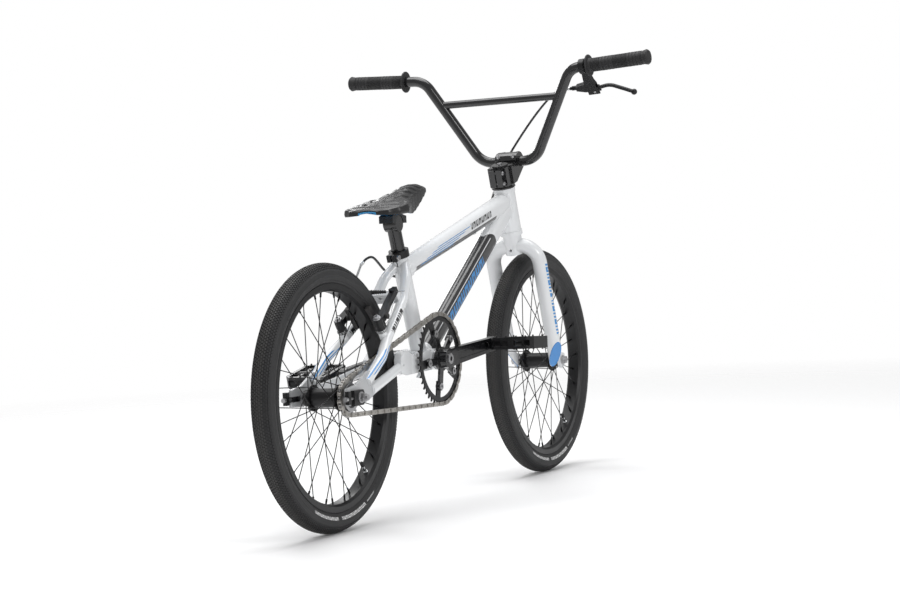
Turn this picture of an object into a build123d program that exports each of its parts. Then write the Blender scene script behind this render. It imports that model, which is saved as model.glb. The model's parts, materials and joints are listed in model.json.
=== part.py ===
from build123d import *
from math import asin, atan2, cos, degrees, pi, radians, sin, tan
import os

# A 20 inch BMX race bicycle with a single rear rim brake, in millimetres.
# +X points forward, +Y to the rider's left, +Z up.  The origin is on the
# ground, midway between the two wheel axles, in the bicycle's middle plane.
# Each node is one part as it would come off on a bench.

# ---------------------------------------------------------------- driving sizes
wheelbase = 951.0
tyre_radius = 248.0
tyre_section = 22.0          # radius of the tyre's round section
tyre_wall = 2.6
rim_bed_radius = 205.5
rim_flange_radius = 209.5
rim_inner_radius = 195.0
rim_half_width = 16.0
rim_flange = 1.2
spoke_radius = 0.9
spokes_per_side = 18
spoke_cross = 3
nipple_length = 10.0
front_hub_width = 100.0      # between the fork dropouts
rear_hub_width = 110.0       # between the frame dropouts
axle_radius = 5.0

head_angle = 74.0
fork_offset = 30.0
crown_height = 277.0         # crown's centre above the axle, along the steering axis
head_tube_bottom = 303.0
head_tube_length = 107.0
head_tube_radius = 22.5
steerer_radius = 14.3
steerer_bore = 11.5
fork_leg_radius = 16.0
fork_leg_spread = 55.0       # leg centre to the middle plane
fork_leg_end = 24.0          # centre of the slash cut above the axle
slash_angle = 27.0
slash_turn = 30.0            # how far the cut faces to the rear of straight outwards
fork_leg_wall = 2.2

stem_reach = 50.0
stem_clamp_height = 454.0    # bar centre above the axle, along the steering axis
stem_half_width = 25.0
bar_radius = 11.1
bar_wall = 2.2
bar_rise = 202.0
bar_lean = 6.0
bar_half_width = 353.0
bar_lower_bend = 64.0
bar_upper_bend = 174.0
bar_upper_rise = 193.0
crossbar_rise = 136.0
crossbar_radius = 8.0
grip_length = 136.0
grip_radius = 15.0
grip_flange_radius = 23.5

bracket_x = -101.4           # crank axis
bracket_z = 291.7
shell_radius = 21.0
shell_width = 73.0
shell_bore = 17.0
seat_angle = 72.5
seat_tube_radius = 15.9
seat_tube_top = 228.0        # from the crank axis, along the seat tube
seat_post_radius = 13.6
seat_post_exposed = 56.0
seat_post_insert = 110.0
top_tube_depths = (37.0, 46.0)    # at the seat tube and at the head tube
top_tube_widths = (30.0, 33.0)
down_tube_depths = (42.0, 46.0)   # at the bottom bracket and at the head tube
down_tube_widths = (32.0, 34.0)
tube_wall = 1.8

crank_length = 175.0
crank_pose = 6.0             # right crank above the forward horizontal
chain_pitch = 12.7
ring_teeth = 44
cog_teeth = 16
chain_line = 43.0            # chain's middle plane to the bicycle's middle plane
chain_links = 90
roller_radius = 3.85
plate_height = 8.2
tooth_thickness = 2.8
bolt_circle_radius = 55.0
spindle_radius = 12.0
pedal_axle_radius = 4.5
pedal_inner = 92.0
pedal_outer = 186.0
pedal_length = 90.0
pedal_height = 24.0

brake_pivot_radius = 180.0   # from the wheel axle
brake_pivot_spread = 42.0
brake_stud_radius = 4.0
brake_arm_length = 101.0
brake_arm_offset = 33.0      # arm's middle plane in front of the stay's centre line
pad_gap = 1.5
cable_line_offset = 45.0
housing_radius = 2.5
wire_radius = 0.8

running = 0.05               # radial clearance of a running or sliding fit
clear = 0.3                  # clearance between pieces that pass each other

parts = {}


def keep(name, *shapes):
    """Files a group of solids under one node name."""
    parts.setdefault(name, []).extend(solid for shape in shapes for solid in shape.solids())


def both_sides(shape):
    """A piece and its mirror image across the bicycle's middle plane."""
    return [shape, mirror(shape, about=Plane.XZ)]


def rod(start, end, radius, bore=0.0):
    """A round bar or tube between two points."""
    start, end = Vector(start), Vector(end)
    plane = Plane(origin=start, z_dir=end - start)
    profile = Circle(radius)
    if bore:
        profile -= Circle(bore)
    return extrude(plane * profile, (end - start).length)


def ring(y_start, y_end, outer, inner=0.0):
    """A disc or ring about the Y axis."""
    return rod((0, y_start, 0), (0, y_end, 0), outer, inner)


def side_plate(outline, y_start, y_end):
    """A plate cut from an XZ outline, between two Y positions."""
    face = make_face(Polyline(*[(x, 0, z) for x, z in outline], close=True))
    plate = extrude(face, abs(y_end - y_start), dir=(0, 1, 0))
    return Pos(0, min(y_start, y_end), 0) * plate


def bent(points, radii, outer, bore=0.0):
    """A round bar, tube or cable along straight runs joined by tangent arcs."""
    path = FilletPolyline(*points, radius=radii)
    start = path.location_at(0)
    profile = Circle(outer)
    if bore:
        profile -= Circle(bore)
    return sweep(Plane(start) * profile, path=path)


def cable_radii(points):
    """For each corner, the largest arc that its two runs leave room for."""
    radii = []
    for before, here, after in zip(points, points[1:], points[2:]):
        run_in, run_out = Vector(here) - Vector(before), Vector(after) - Vector(here)
        turn = radians(run_in.get_angle(run_out))
        radii.append(0.45 * min(run_in.length, run_out.length) / tan(turn / 2))
    return radii


# ---------------------------------------------------------------- reference frames
rear_axle = Vector(-wheelbase / 2, 0, tyre_radius)
front_axle = Vector(wheelbase / 2, 0, tyre_radius)
bracket = Vector(bracket_x, 0, bracket_z)

# Steering frame: x forward, y left, z up the steering axis, level with the front axle.
steer_up = Vector(-cos(radians(head_angle)), 0, sin(radians(head_angle)))
steer_forward = Vector(sin(radians(head_angle)), 0, cos(radians(head_angle)))
steer_base = front_axle - steer_forward * fork_offset
steering = Plane(origin=steer_base, x_dir=steer_forward, z_dir=steer_up)

# Seat tube frame: z up the seat tube from the crank axis.
seat_up = Vector(-cos(radians(seat_angle)), 0, sin(radians(seat_angle)))
seat_forward = Vector(sin(radians(seat_angle)), 0, cos(radians(seat_angle)))
seating = Plane(origin=bracket, x_dir=seat_forward, z_dir=seat_up)

# Rear stay frame: x out from the rear axle along the seat stay, z off the stay towards the brake.
stay_slope = 33.1
stay_out = Vector(cos(radians(stay_slope)), 0, sin(radians(stay_slope)))
stay_off = Vector(-sin(radians(stay_slope)), 0, cos(radians(stay_slope)))
staying = Plane(origin=rear_axle, x_dir=stay_out, z_dir=stay_off)


def steer_point(forward, left, up):
    return steering.from_local_coords(Vector(forward, left, up))


def stay_point(out, left, off):
    return staying.from_local_coords(Vector(out, left, off))


# ---------------------------------------------------------------- main frame
head_low, head_high = head_tube_bottom, head_tube_bottom + head_tube_length
cup_depth = 8.0
bearing_radius = 19.5
seat_top = seating.from_local_coords(Vector(0, 0, seat_tube_top))
top_tube_rear = Vector(-160.0, 0, 472.1)
top_tube_front = Vector(342.1, 0, 604.2)
down_tube_rear = bracket
down_tube_front = Vector(344.5, 0, 594.5)


def oval_plane(origin, direction):
    """A plane across a frame tube, with its x along the section's depth."""
    return Plane(origin=origin, x_dir=(-direction.Z, 0, direction.X), z_dir=direction)


def oval_tube(start, end, depths, widths, thin=0.0):
    """A flat-sided oval tube, solid for thin=0, else the space inside a wall that thick."""
    direction = (end - start).normalized()
    sections = []
    for place, depth, width in zip((start, end), depths, widths):
        sections.append(oval_plane(place, direction) * SlotOverall(depth - 2 * thin, width - 2 * thin))
    return loft(sections)


def make_main_frame():
    head = rod(steer_point(0, 0, head_low), steer_point(0, 0, head_high), head_tube_radius)
    for foot in (head_low, head_high - 10):
        head += rod(steer_point(0, 0, foot), steer_point(0, 0, foot + 10), head_tube_radius + 1.5)
    shell = Pos(bracket) * ring(-shell_width / 2, shell_width / 2, shell_radius)
    seat = rod(bracket, seat_top, seat_tube_radius)
    top_shape = (top_tube_rear, top_tube_front, top_tube_depths, top_tube_widths)
    down_shape = (down_tube_rear, down_tube_front, down_tube_depths, down_tube_widths)
    top, top_void = oval_tube(*top_shape), oval_tube(*top_shape, tube_wall)
    down, down_void = oval_tube(*down_shape), oval_tube(*down_shape, tube_wall)

    head_bore = rod(steer_point(0, 0, head_low), steer_point(0, 0, head_high), head_tube_radius - 5)
    for foot in (head_low, head_high - cup_depth):
        head_bore += rod(steer_point(0, 0, foot), steer_point(0, 0, foot + cup_depth), bearing_radius)
    keep("head_tube", head - head_bore)
    keep("bottom_bracket_shell", shell - Pos(bracket) * ring(-60, 60, shell_bore))
    post_bore = rod(bracket, seat_top + seat_up * 5, seat_post_radius + running)
    slot = seating * (Pos(-seat_tube_radius, 0, seat_tube_top - 14) * Box(14, 2.4, 28.2))
    keep("seat_tube", seat - shell - post_bore - slot)
    keep("top_tube", top - top_void - head - seat)
    keep("down_tube", down - down_void - top - head - shell - seat)
    return head, shell, seat, top, down


head_solid, shell_solid, seat_solid, top_solid, down_solid = make_main_frame()

# ---------------------------------------------------------------- rear triangle
dropout_thick = 6.0
dropout_inner = rear_hub_width / 2
stay_points = [
    (-160.0, 5.0, 490.0),
    (-191.0, 24.0, 456.0),
    (-221.0, 31.0, 415.0),
    tuple(stay_point(brake_pivot_radius, 47.5, 0)),
    tuple(stay_point(120.0, 60.5, -1.0)),
    tuple(stay_point(48.0, dropout_inner + dropout_thick / 2, -2.0)),
]


def make_rear_triangle():
    dropout_outline = [
        (-36, 18), (2, 23), (48, 45), (68, 38), (70, 2), (44, -9), (4, -16), (-36, -13),
    ]
    dropout = side_plate(dropout_outline, dropout_inner, dropout_inner + dropout_thick)
    slot = Pos(-20, dropout_inner + 3, 0) * Box(52, 20, 2 * axle_radius + 0.6)
    slot = slot + Pos(6, dropout_inner + 3, 0) * Rot(90, 0, 0) * Cylinder(axle_radius + 0.3, 20)
    dropout = Pos(rear_axle) * (dropout - slot)

    path = FilletPolyline(*stay_points, radius=[60, 60, 60, 60])
    section = Plane(path.location_at(0)) * Ellipse(8.6, 10.6)
    stay = sweep(section, path=path)
    beyond_middle = Pos(0, -50 - clear, 0) * Box(4 * wheelbase, 100, 4 * wheelbase)
    stay = stay - seat_solid - top_solid - dropout - beyond_middle
    chain_stay_start = Vector(-258.0, 33.5, 286.0)
    chain_stay_end = Vector(-416.0, dropout_inner + dropout_thick / 2, 256.0)
    direction = chain_stay_end - chain_stay_start
    section = Plane(origin=chain_stay_start, x_dir=(0.2, 0, 1), z_dir=direction) * Ellipse(10.5, 7.6)
    chain_stay = extrude(section, direction.length) - dropout

    yoke_plan = [(-118, -34), (-205, -34), (-262, -41.5), (-262, -26.5), (-214, -21), (-206, -12)]
    yoke_plan = yoke_plan + [(x, -y) for x, y in reversed(yoke_plan)]
    yoke = extrude(make_face(Polyline(*[(x, y, 250) for x, y in yoke_plan], close=True)), 80, dir=(0, 0, 1))
    yoke_side = [
        (-116, 272), (-232, 269), (-264, 274), (-264, 300), (-246, 317), (-222, 317), (-198, 306), (-116, 311),
    ]
    yoke = yoke & side_plate(yoke_side, -60, 60)
    yoke = yoke - rod((-247, -60, 290), (-247, 60, 290), 3.0)
    yoke = yoke - Pos(-165, 0, 290) * Box(46, 44, 60)
    yoke = yoke - shell_solid - seat_solid - down_solid
    left, right = both_sides(chain_stay)
    keep("dropouts", *both_sides(dropout))
    keep("chain_stay_yoke", max(yoke.solids(), key=lambda solid: solid.volume))
    keep("seat_stays", *[max(s.solids(), key=lambda solid: solid.volume) for s in both_sides(stay)])
    yoke_solid = parts["chain_stay_yoke"][0]
    keep("chain_stays", *[s - yoke_solid for s in (left, right)])

    plate = staying * (Pos(297, 0, 13) * Box(14, 60, 20))
    for side in (-9, 9):
        plate = plate - rod(stay_point(280, side, 15), stay_point(320, side, 15), 3.2)
    for stay_half in parts["seat_stays"]:
        plate = plate - stay_half
    keep("brake_bridge", max(plate.solids(), key=lambda solid: solid.volume))


make_rear_triangle()


# ---------------------------------------------------------------- seat
collar_height = 14.0
collar_radius = 20.0
saddle_tilt_radius = 16.0    # serrated head on which the saddle tilts
post_head_up = seat_tube_top + seat_post_exposed
tilt_centre = seating.from_local_coords(Vector(0, 0, post_head_up))
on_foot = (Align.CENTER, Align.CENTER, Align.MIN)


def make_seat():
    collar = seating * (Pos(0, 0, seat_tube_top - 12) * Cylinder(collar_radius, collar_height, align=on_foot))
    ears = seating * (Pos(-26, 0, seat_tube_top - 12 + collar_height / 2) * Box(18, 20, collar_height))
    collar = collar + ears
    collar = collar - rod(bracket, seat_top, seat_tube_radius)
    collar = collar - rod(seat_top, seat_top + seat_up * 5, seat_post_radius + clear)
    collar = collar - seating * (Pos(-26, 0, seat_tube_top) * Box(26, 3.0, 60))
    bolt_line = seating.from_local_coords(Vector(-28, 0, seat_tube_top - 12 + collar_height / 2))
    left, right = bolt_line + Vector(0, 12, 0), bolt_line - Vector(0, 14, 0)
    keep("seat_clamp_collar", collar - rod(left, right, 3.05) - top_solid)
    bolt = rod(left - Vector(0, 2, 0), right + Vector(0, 4, 0), 3.0)
    head_end = right - Vector(0, 1, 0)
    bolt = bolt + rod(right + Vector(0, 4, 0), head_end, 5.0) - rod(right, head_end, 2.6)
    keep("frame_bolts", bolt)

    foot = seating.from_local_coords(Vector(0, 0, seat_tube_top - seat_post_insert))
    post = rod(foot, tilt_centre, seat_post_radius, seat_post_radius - 2.6)
    dome = Pos(tilt_centre) * Rot(90, 0, 0) * Cylinder(saddle_tilt_radius, 28)
    pocket = seating * (Pos(0, 0, post_head_up + 4) * Box(22, 9, 30))
    keep("seat_post", post - dome + (dome - pocket))

    base = Pos(tilt_centre) * (Pos(0, 0, 14) * Box(58, 30, 26))
    base = base - Pos(tilt_centre) * Rot(90, 0, 0) * Cylinder(saddle_tilt_radius + clear, 60)
    sections = []
    for x, z, width, height in saddle_sections:
        sections.append(Plane(origin=(x, 0, z), x_dir=(0, 1, 0), z_dir=(-1, 0, 0)) * SlotOverall(width, height))
    pad = loft(sections) - Pos(tilt_centre) * Rot(90, 0, 0) * Cylinder(saddle_tilt_radius + clear, 60)
    tilt_up = Plane(origin=tilt_centre, x_dir=seating.x_dir, z_dir=seat_up)
    shank = tilt_up * (Pos(0, 0, 6) * Cylinder(3.9, 60, align=on_foot))
    head_hole = tilt_up * (Pos(0, 0, 26) * Cylinder(7.0, 60, align=on_foot))
    bolt = tilt_up * (Pos(0, 0, 2) * Cylinder(3.8, 24, align=on_foot))
    bolt = bolt + tilt_up * (Pos(0, 0, 26) * Cylinder(6.6, 6, align=on_foot))
    bolt = bolt - tilt_up * (Pos(0, 0, 29) * extrude(RegularPolygon(3.2, 6), 4))
    base = base - pad - shank - head_hole
    keep("saddle_base", max(base.solids(), key=lambda solid: solid.volume))
    keep("saddle_pad", pad - head_hole - shank)
    keep("saddle_base", bolt)


saddle_sections = [
    (-57.0, 628.0, 26.0, 8.0),
    (-76.0, 630.0, 40.0, 19.0),
    (-100.0, 622.0, 50.0, 38.0),
    (-125.0, 608.0, 62.0, 54.0),
    (-170.0, 603.0, 78.0, 46.0),
    (-225.0, 591.0, 120.0, 38.0),
    (-266.0, 585.0, 130.0, 32.0),
    (-292.0, 583.0, 112.0, 14.0),
]
make_seat()

# ---------------------------------------------------------------- headset, fork and stem
cover_height = 6.0
stem_foot = head_high + clear + cover_height
stem_top = stem_clamp_height + 4.0
crown_radius = 20.0
crown_top = head_low - clear


def turned(*steps):
    """Stacked discs about the steering axis: (bottom, top, radius)."""
    solids = [rod(steer_point(0, 0, low), steer_point(0, 0, high), radius) for low, high, radius in steps]
    total = solids[0]
    for solid in solids[1:]:
        total = total + solid
    return total


def make_headset():
    bearings = []
    for low in (head_low, head_high - cup_depth):
        bearing = turned((low, low + cup_depth - 0.5, bearing_radius))
        bearings.append(bearing - turned((low - 5, low + 20, steerer_radius + running)))
    keep("headset_bearings", *bearings)
    foot = head_high + clear
    cover = turned((foot, foot + 3, head_tube_radius + 3.5), (foot + 3, stem_foot, 19.5))
    keep("stem_caps", cover - turned((head_high - 5, stem_foot + 5, steerer_radius + running)))


def make_fork():
    low_point = (0, fork_leg_spread, -10)
    shoulder = (0, fork_leg_spread, crown_height)
    path = FilletPolyline(low_point, shoulder, (0, 0, crown_height), radius=[41])
    foot = Plane(path.location_at(0))
    leg = sweep(foot * Circle(fork_leg_radius), path=path)
    steep, turned_back = radians(slash_angle), radians(slash_turn)
    slash_normal = (-sin(turned_back) * cos(steep), cos(turned_back) * cos(steep), -sin(steep))
    slash_width = (cos(turned_back), sin(turned_back), 0)
    cut_plane = Plane(origin=(0, fork_leg_spread, fork_leg_end), x_dir=slash_width, z_dir=slash_normal)
    offcut = split(leg, bisect_by=cut_plane, keep=Keep.TOP)
    leg = split(leg, bisect_by=cut_plane, keep=Keep.BOTTOM)
    leg = leg - sweep(foot * Circle(fork_leg_radius - fork_leg_wall), path=path)
    slanted = fork_leg_radius / sin(steep)
    cap_face = cut_plane * Ellipse(fork_leg_radius - 0.5, slanted - 1)
    cap = extrude(cap_face, 1.2)
    steerer_foot = rod((0, 0, crown_height - 17), (0, 0, crown_top), crown_radius)
    leg = leg - steerer_foot
    plate_outline = [
        (2, 64), (14, 60), (26, 20), (46, 10), (48, -6), (40, -16), (24, -18), (6, -2), (-6, 24), (-8, 58),
    ]
    dropout_face = make_face(Polyline(*[(x, 0, z) for x, z in plate_outline], close=True))
    dropout = Pos(0, front_hub_width / 2, 0) * extrude(dropout_face, 6, dir=(0, 1, 0))
    slot = Pos(fork_offset, front_hub_width / 2 + 3, -12) * Box(2 * axle_radius + 0.6, 20, 24)
    slot = slot + Pos(fork_offset, front_hub_width / 2 + 3, 0) * Rot(90, 0, 0) * Cylinder(axle_radius + 0.3, 20)
    dropout = dropout - slot
    leg = leg - dropout
    leg = max(leg.solids(), key=lambda solid: solid.volume)
    dropout = dropout - offcut
    dropout = max(dropout.solids(), key=lambda solid: solid.volume)
    stud_height = 178.0
    stud = rod((fork_leg_radius - 6, 40, stud_height), (fork_leg_radius + 9, 40, stud_height), 7.5) - leg
    stud_seat = fork_leg_radius + 9
    stud = stud + rod((stud_seat, 40, stud_height), (stud_seat + 16, 40, stud_height), brake_stud_radius)
    stud = max(stud.solids(), key=lambda solid: solid.volume)
    crown = steerer_foot + rod((0, 0, crown_top - 1), (0, 0, stem_top - 3), steerer_radius)
    crown = crown - rod((0, 0, crown_height + 8), (0, 0, stem_top + 5), steerer_bore)
    crown = crown - rod((-30, 0, crown_height - 5), (30, 0, crown_height - 5), 3.2)
    keep("fork_steerer", steering.location * crown)
    keep("fork_legs", *[steering.location * piece for piece in both_sides(leg)])
    keep("fork_leg_caps", *[steering.location * piece for piece in both_sides(cap)])
    keep("fork_fittings", *[steering.location * piece for piece in both_sides(dropout)])
    keep("fork_fittings", *[steering.location * piece for piece in both_sides(stud)])


cap_split = 0.3
stem_bolt_places = [(stem_reach + dx, y) for dx in (-15.5, 15.5) for y in (-17.0, 17.0)]


def make_stem():
    half = stem_half_width
    split_height = stem_clamp_height + cap_split
    outline = [
        (-21, stem_foot), (21, stem_foot), (66, 438), (72, 444), (72, split_height),
        (29, split_height), (26, stem_top), (-21, stem_top),
    ]
    body = side_plate(outline, -half, half)
    bar_hole = Pos(stem_reach, 0, stem_clamp_height) * Rot(90, 0, 0) * Cylinder(bar_radius, 200)
    steerer_hole = rod((0, 0, 380), (0, 0, 480), steerer_radius)
    body = body - bar_hole - steerer_hole
    ear = Pos(-25, 0, (stem_foot + stem_top) / 2) * Box(14, 30, stem_top - stem_foot - 4)
    body = body + (ear - steerer_hole)
    body = body - Pos(-26, 0, 430) * Box(26, 2.6, 120)
    side_pocket = Pos(-14, half, (stem_foot + stem_top) / 2) * Box(34, 8, 60)
    for pocket in both_sides(side_pocket):
        body = body - pocket
    pinch_heights = (stem_foot + 9, stem_top - 10)
    pinch = []
    for height in pinch_heights:
        body = body - rod((-27, -20, height), (-27, 20, height), 2.55)
        bolt = rod((-27, -15, height), (-27, 13, height), 2.5)
        bolt = bolt + rod((-27, -18, height), (-27, -15, height), 4.2)
        pinch.append(bolt - rod((-27, -18, height), (-27, -16, height), 2.2))
    cap_outline = [
        (30, split_height + cap_split), (71, split_height + cap_split), (71, 462), (64, 471), (57, 474),
        (43, 474), (36, 471), (30, 462),
    ]
    cap = side_plate(cap_outline, -half, half) - bar_hole
    bolts = []
    for x, y in stem_bolt_places:
        body = body - rod((x, y, 441), (x, y, 480), 2.55)
        cap = cap - rod((x, y, 440), (x, y, 480), 2.55) - rod((x, y, 467), (x, y, 490), 4.6)
        bolt = rod((x, y, 442), (x, y, 467), 2.5) + rod((x, y, 467), (x, y, 472), 4.4)
        bolts.append(bolt - rod((x, y, 470), (x, y, 472), 2.3))
    top = rod((0, 0, stem_top), (0, 0, stem_top + 3.5), 17.5)
    top = top + rod((0, 0, stem_top - 2), (0, 0, stem_top), steerer_radius - 0.2)
    top = top - rod((0, 0, stem_top - 5), (0, 0, stem_top + 5), 3.05)
    top_bolt = rod((0, 0, stem_top - 20), (0, 0, stem_top + 3.5), 3.0)
    top_bolt = top_bolt + rod((0, 0, stem_top + 3.5), (0, 0, stem_top + 7), 5.0)
    top_bolt = top_bolt - rod((0, 0, stem_top + 5), (0, 0, stem_top + 8), 2.6)
    keep("stem_body", steering.location * body)
    keep("stem_caps", steering.location * cap)
    keep("stem_bolts", *[steering.location * bolt for bolt in pinch + bolts + [top_bolt]])
    keep("stem_caps", steering.location * top)


make_headset()
make_fork()
make_stem()

# ---------------------------------------------------------------- handlebar, grips and brake lever
bar_centre = Vector(stem_reach, 0, stem_clamp_height)
bar_up = Vector(bar_lean, 0, bar_rise) / bar_rise


def bar_point(left, rise):
    return bar_centre + bar_up * rise + Vector(0, left, 0)


grip_start = bar_half_width - grip_length
end_slope = (bar_rise - bar_upper_rise) / (bar_half_width - bar_upper_bend)


def on_bar_end(left):
    """A point on the right hand bar end's centre line, that far from the middle."""
    return bar_point(-left, bar_upper_rise + (left - bar_upper_bend) * end_slope)


bar_bends = [42, 50, 50, 42]   # radii of the upper and lower bends


def make_handlebar():
    half = [(bar_half_width, bar_rise), (bar_upper_bend, bar_upper_rise), (bar_lower_bend, 0.0)]
    points = [bar_point(left, rise) for left, rise in half]
    points = points + [bar_point(-left, rise) for left, rise in reversed(half)]
    bar = bent(points, bar_bends, bar_radius, bar_radius - bar_wall)
    bar = max(bar.solids(), key=lambda solid: solid.volume)
    leg_slope = (bar_upper_bend - bar_lower_bend) / bar_upper_rise
    reach = bar_lower_bend + crossbar_rise * leg_slope
    outer = bent(points, bar_bends, bar_radius)
    cross = rod(bar_point(reach, crossbar_rise), bar_point(-reach, crossbar_rise), crossbar_radius) - outer
    cross = max(cross.solids(), key=lambda solid: solid.volume)
    keep("handlebar", steering.location * bar)
    keep("handlebar_crossbar", steering.location * cross)
    grips, plugs = [], []
    for side in (1, -1):
        def end_point(left):
            point = on_bar_end(left)
            return Vector(point.X, side * abs(point.Y), point.Z)
        grip = rod(end_point(grip_start), end_point(bar_half_width), grip_radius)
        grip = grip + rod(end_point(grip_start), end_point(grip_start + 4), grip_flange_radius)
        grip = grip + rod(end_point(bar_half_width - 3), end_point(bar_half_width), grip_radius + 2)
        grips.append(grip - rod(end_point(grip_start - 5), end_point(bar_half_width + 5), bar_radius))
        plug = rod(end_point(bar_half_width), end_point(bar_half_width + 3.5), bar_radius + 2)
        plug = plug + rod(end_point(bar_half_width - 14), end_point(bar_half_width), bar_radius - bar_wall)
        plugs.append(plug)
    keep("grips", *[steering.location * grip for grip in grips])
    keep("grips", *[steering.location * plug for plug in plugs])


lever_forward = 0.47         # how far the lever points forward for each unit down
lever_pivot = (6.0, 66.0)    # pivot in the lever's frame: outwards and below the bar
lever_pin_radius = 2.5
lever_gap = 7.6              # slot that the blade's root swings in
barrel_drop = 53.0


def lever_frame():
    """x outwards along the bar end, z from the bar towards the lever; origin on the bar."""
    clamp = on_bar_end(grip_start - 12)
    outwards = (on_bar_end(bar_half_width) - clamp).normalized()
    drop = Vector(lever_forward, 0, -1)
    return Plane(origin=clamp, x_dir=outwards, z_dir=drop - outwards * drop.dot(outwards))


def make_lever():
    frame = lever_frame()
    ring_part = rod((-6, 0, 0), (6, 0, 0), bar_radius + 5)
    neck_outline = [(-6, 8), (6, 8), (9, 40), (12, 50), (12, 64), (-14, 64), (-34, 58), (-34, 48), (-12, 44)]
    neck = side_plate(neck_outline, -6.5, 6.5)
    bracket_body = ring_part + neck
    bracket_body = bracket_body - rod((-20, 0, 0), (20, 0, 0), bar_radius + 0.02)
    out, down = lever_pivot
    bracket_body = bracket_body - Pos(4, 0, 62) * Box(34, lever_gap, 26)
    for cheek in both_sides(side_plate([(-10, 56), (16, 56), (16, 72), (-10, 72)], lever_gap / 2, 6.5)):
        bracket_body = bracket_body + cheek
    bracket_body = bracket_body - rod((out, -10, down), (out, 10, down), lever_pin_radius)
    bracket_body = bracket_body - rod((-60, 0, barrel_drop), (0, 0, barrel_drop), housing_radius + 0.2)
    pin = rod((out, -7.5, down), (out, 7.5, down), lever_pin_radius)
    barrel_steps = ((-34, -44, 5.0), (-44, -49, 3.6))
    barrel, nose = [
        rod((start, 0, barrel_drop), (end, 0, barrel_drop), radius, wire_radius + 0.4)
        for start, end, radius in barrel_steps
    ]
    path = FilletPolyline((2, 0, 62), (42, 0, 56), (72, 0, 74), (88, 0, 84), radius=[30, 40])
    blade = sweep(Plane(path.location_at(0)) * RectangleRounded(7.0, 7.0, 2.0), path=path)
    blade = blade + rod((out, clear - lever_gap / 2, down), (out, lever_gap / 2 - clear, down), 6.5)
    blade = blade + Pos(88, 0, 84) * Sphere(6.5)
    blade = blade - rod((out, -9, down), (out, 9, down), lever_pin_radius + running)
    keep("brake_lever_bracket", steering.location * (frame.location * bracket_body))
    keep("stem_bolts", steering.location * (frame.location * pin))
    keep("brake_lever_bracket", steering.location * (frame.location * (barrel + nose)))
    keep("brake_lever_blade", steering.location * (frame.location * blade))
    pivot_point = steering.from_local_coords(frame.from_local_coords(Vector(out, 0, down)))
    pivot_tip = steering.from_local_coords(frame.from_local_coords(Vector(out, 1, down)))
    print("lever pivot", pivot_point, "axis", pivot_tip - pivot_point)
    return steering.from_local_coords(frame.from_local_coords(Vector(-49, 0, barrel_drop)))


make_handlebar()
lever_barrel_end = make_lever()


# ---------------------------------------------------------------- wheels
flange_radius = 24.5
flange_hole_circle = 22.0
flange_half = 1.5
spoke_stand = {1: 4.4, -1: 2.6}   # spoke line's distance from its flange's middle, outside and inside


def place(axle, shapes):
    return [Pos(axle) * shape for shape in shapes]


def make_rim_and_tyre(axle, name):
    centre_radius = tyre_radius - tyre_section
    torus = Rot(90, 0, 0) * Torus(centre_radius, tyre_section)
    void = Rot(90, 0, 0) * Torus(centre_radius, tyre_section - tyre_wall)
    tyre = torus - void - ring(-30, 30, rim_bed_radius)
    keep(name + "_tyre", *place(axle, [tyre]))
    lip = rim_half_width - rim_flange
    outline = [
        (11, rim_inner_radius), (rim_half_width, rim_inner_radius + 4), (rim_half_width, rim_flange_radius),
        (lip, rim_flange_radius), (lip, rim_bed_radius), (-lip, rim_bed_radius), (-lip, rim_flange_radius),
        (-rim_half_width, rim_flange_radius), (-rim_half_width, rim_inner_radius + 4), (-11, rim_inner_radius),
    ]
    foot, shoulder, roof = rim_inner_radius + 2, rim_inner_radius + 5.2, rim_bed_radius - 2
    inside = [(9.6, foot), (13.8, shoulder), (13.8, roof), (-13.8, roof), (-13.8, shoulder), (-9.6, foot)]
    rim = revolve(make_face(Polyline(*[(0, y, z) for y, z in outline], close=True)), Axis.Y)
    hollow = revolve(make_face(Polyline(*[(0, y, z) for y, z in inside], close=True)), Axis.Y)
    keep(name + "_rim", *place(axle, [rim - hollow]))


def wheel_spokes(left_flange, right_flange):
    """Spokes and nipples laced three cross, nine leading and nine trailing from each flange."""
    spokes, nipples = [], []
    step = 360.0 / spokes_per_side
    shift = radians(spoke_cross * step)
    for flange, phase in ((left_flange, 0.0), (right_flange, step / 2)):
        outward = 1 if flange > 0 else -1
        for lead in (1, -1):
            start_y = flange + outward * lead * spoke_stand[lead]
            reach = lead * shift
            start = Vector(flange_hole_circle * sin(reach), start_y, flange_hole_circle * cos(reach))
            end = Vector(0, outward * (3.0 + 0.6 * lead), rim_inner_radius - 0.4)
            line = (end - start).normalized()
            elbow = Vector(start.X, flange - outward * lead * (flange_half + 0.2), start.Z)
            tip = end - line * 0.3
            spoke = rod(start, tip, spoke_radius) + Pos(start) * Sphere(spoke_radius)
            spoke = spoke + rod(start, elbow, spoke_radius)
            spoke = spoke + rod(elbow, elbow - Vector(0, outward * lead * 0.9, 0), 1.9)
            nipple = rod(end - line * nipple_length, end, 1.9, spoke_radius)
            for index in range(spokes_per_side // 2):
                angle = phase + 2 * step * index + (step if lead < 0 else 0)
                spokes.append(Rot(0, angle, 0) * spoke)
                nipples.append(Rot(0, angle, 0) * nipple)
    return spokes, nipples


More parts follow.
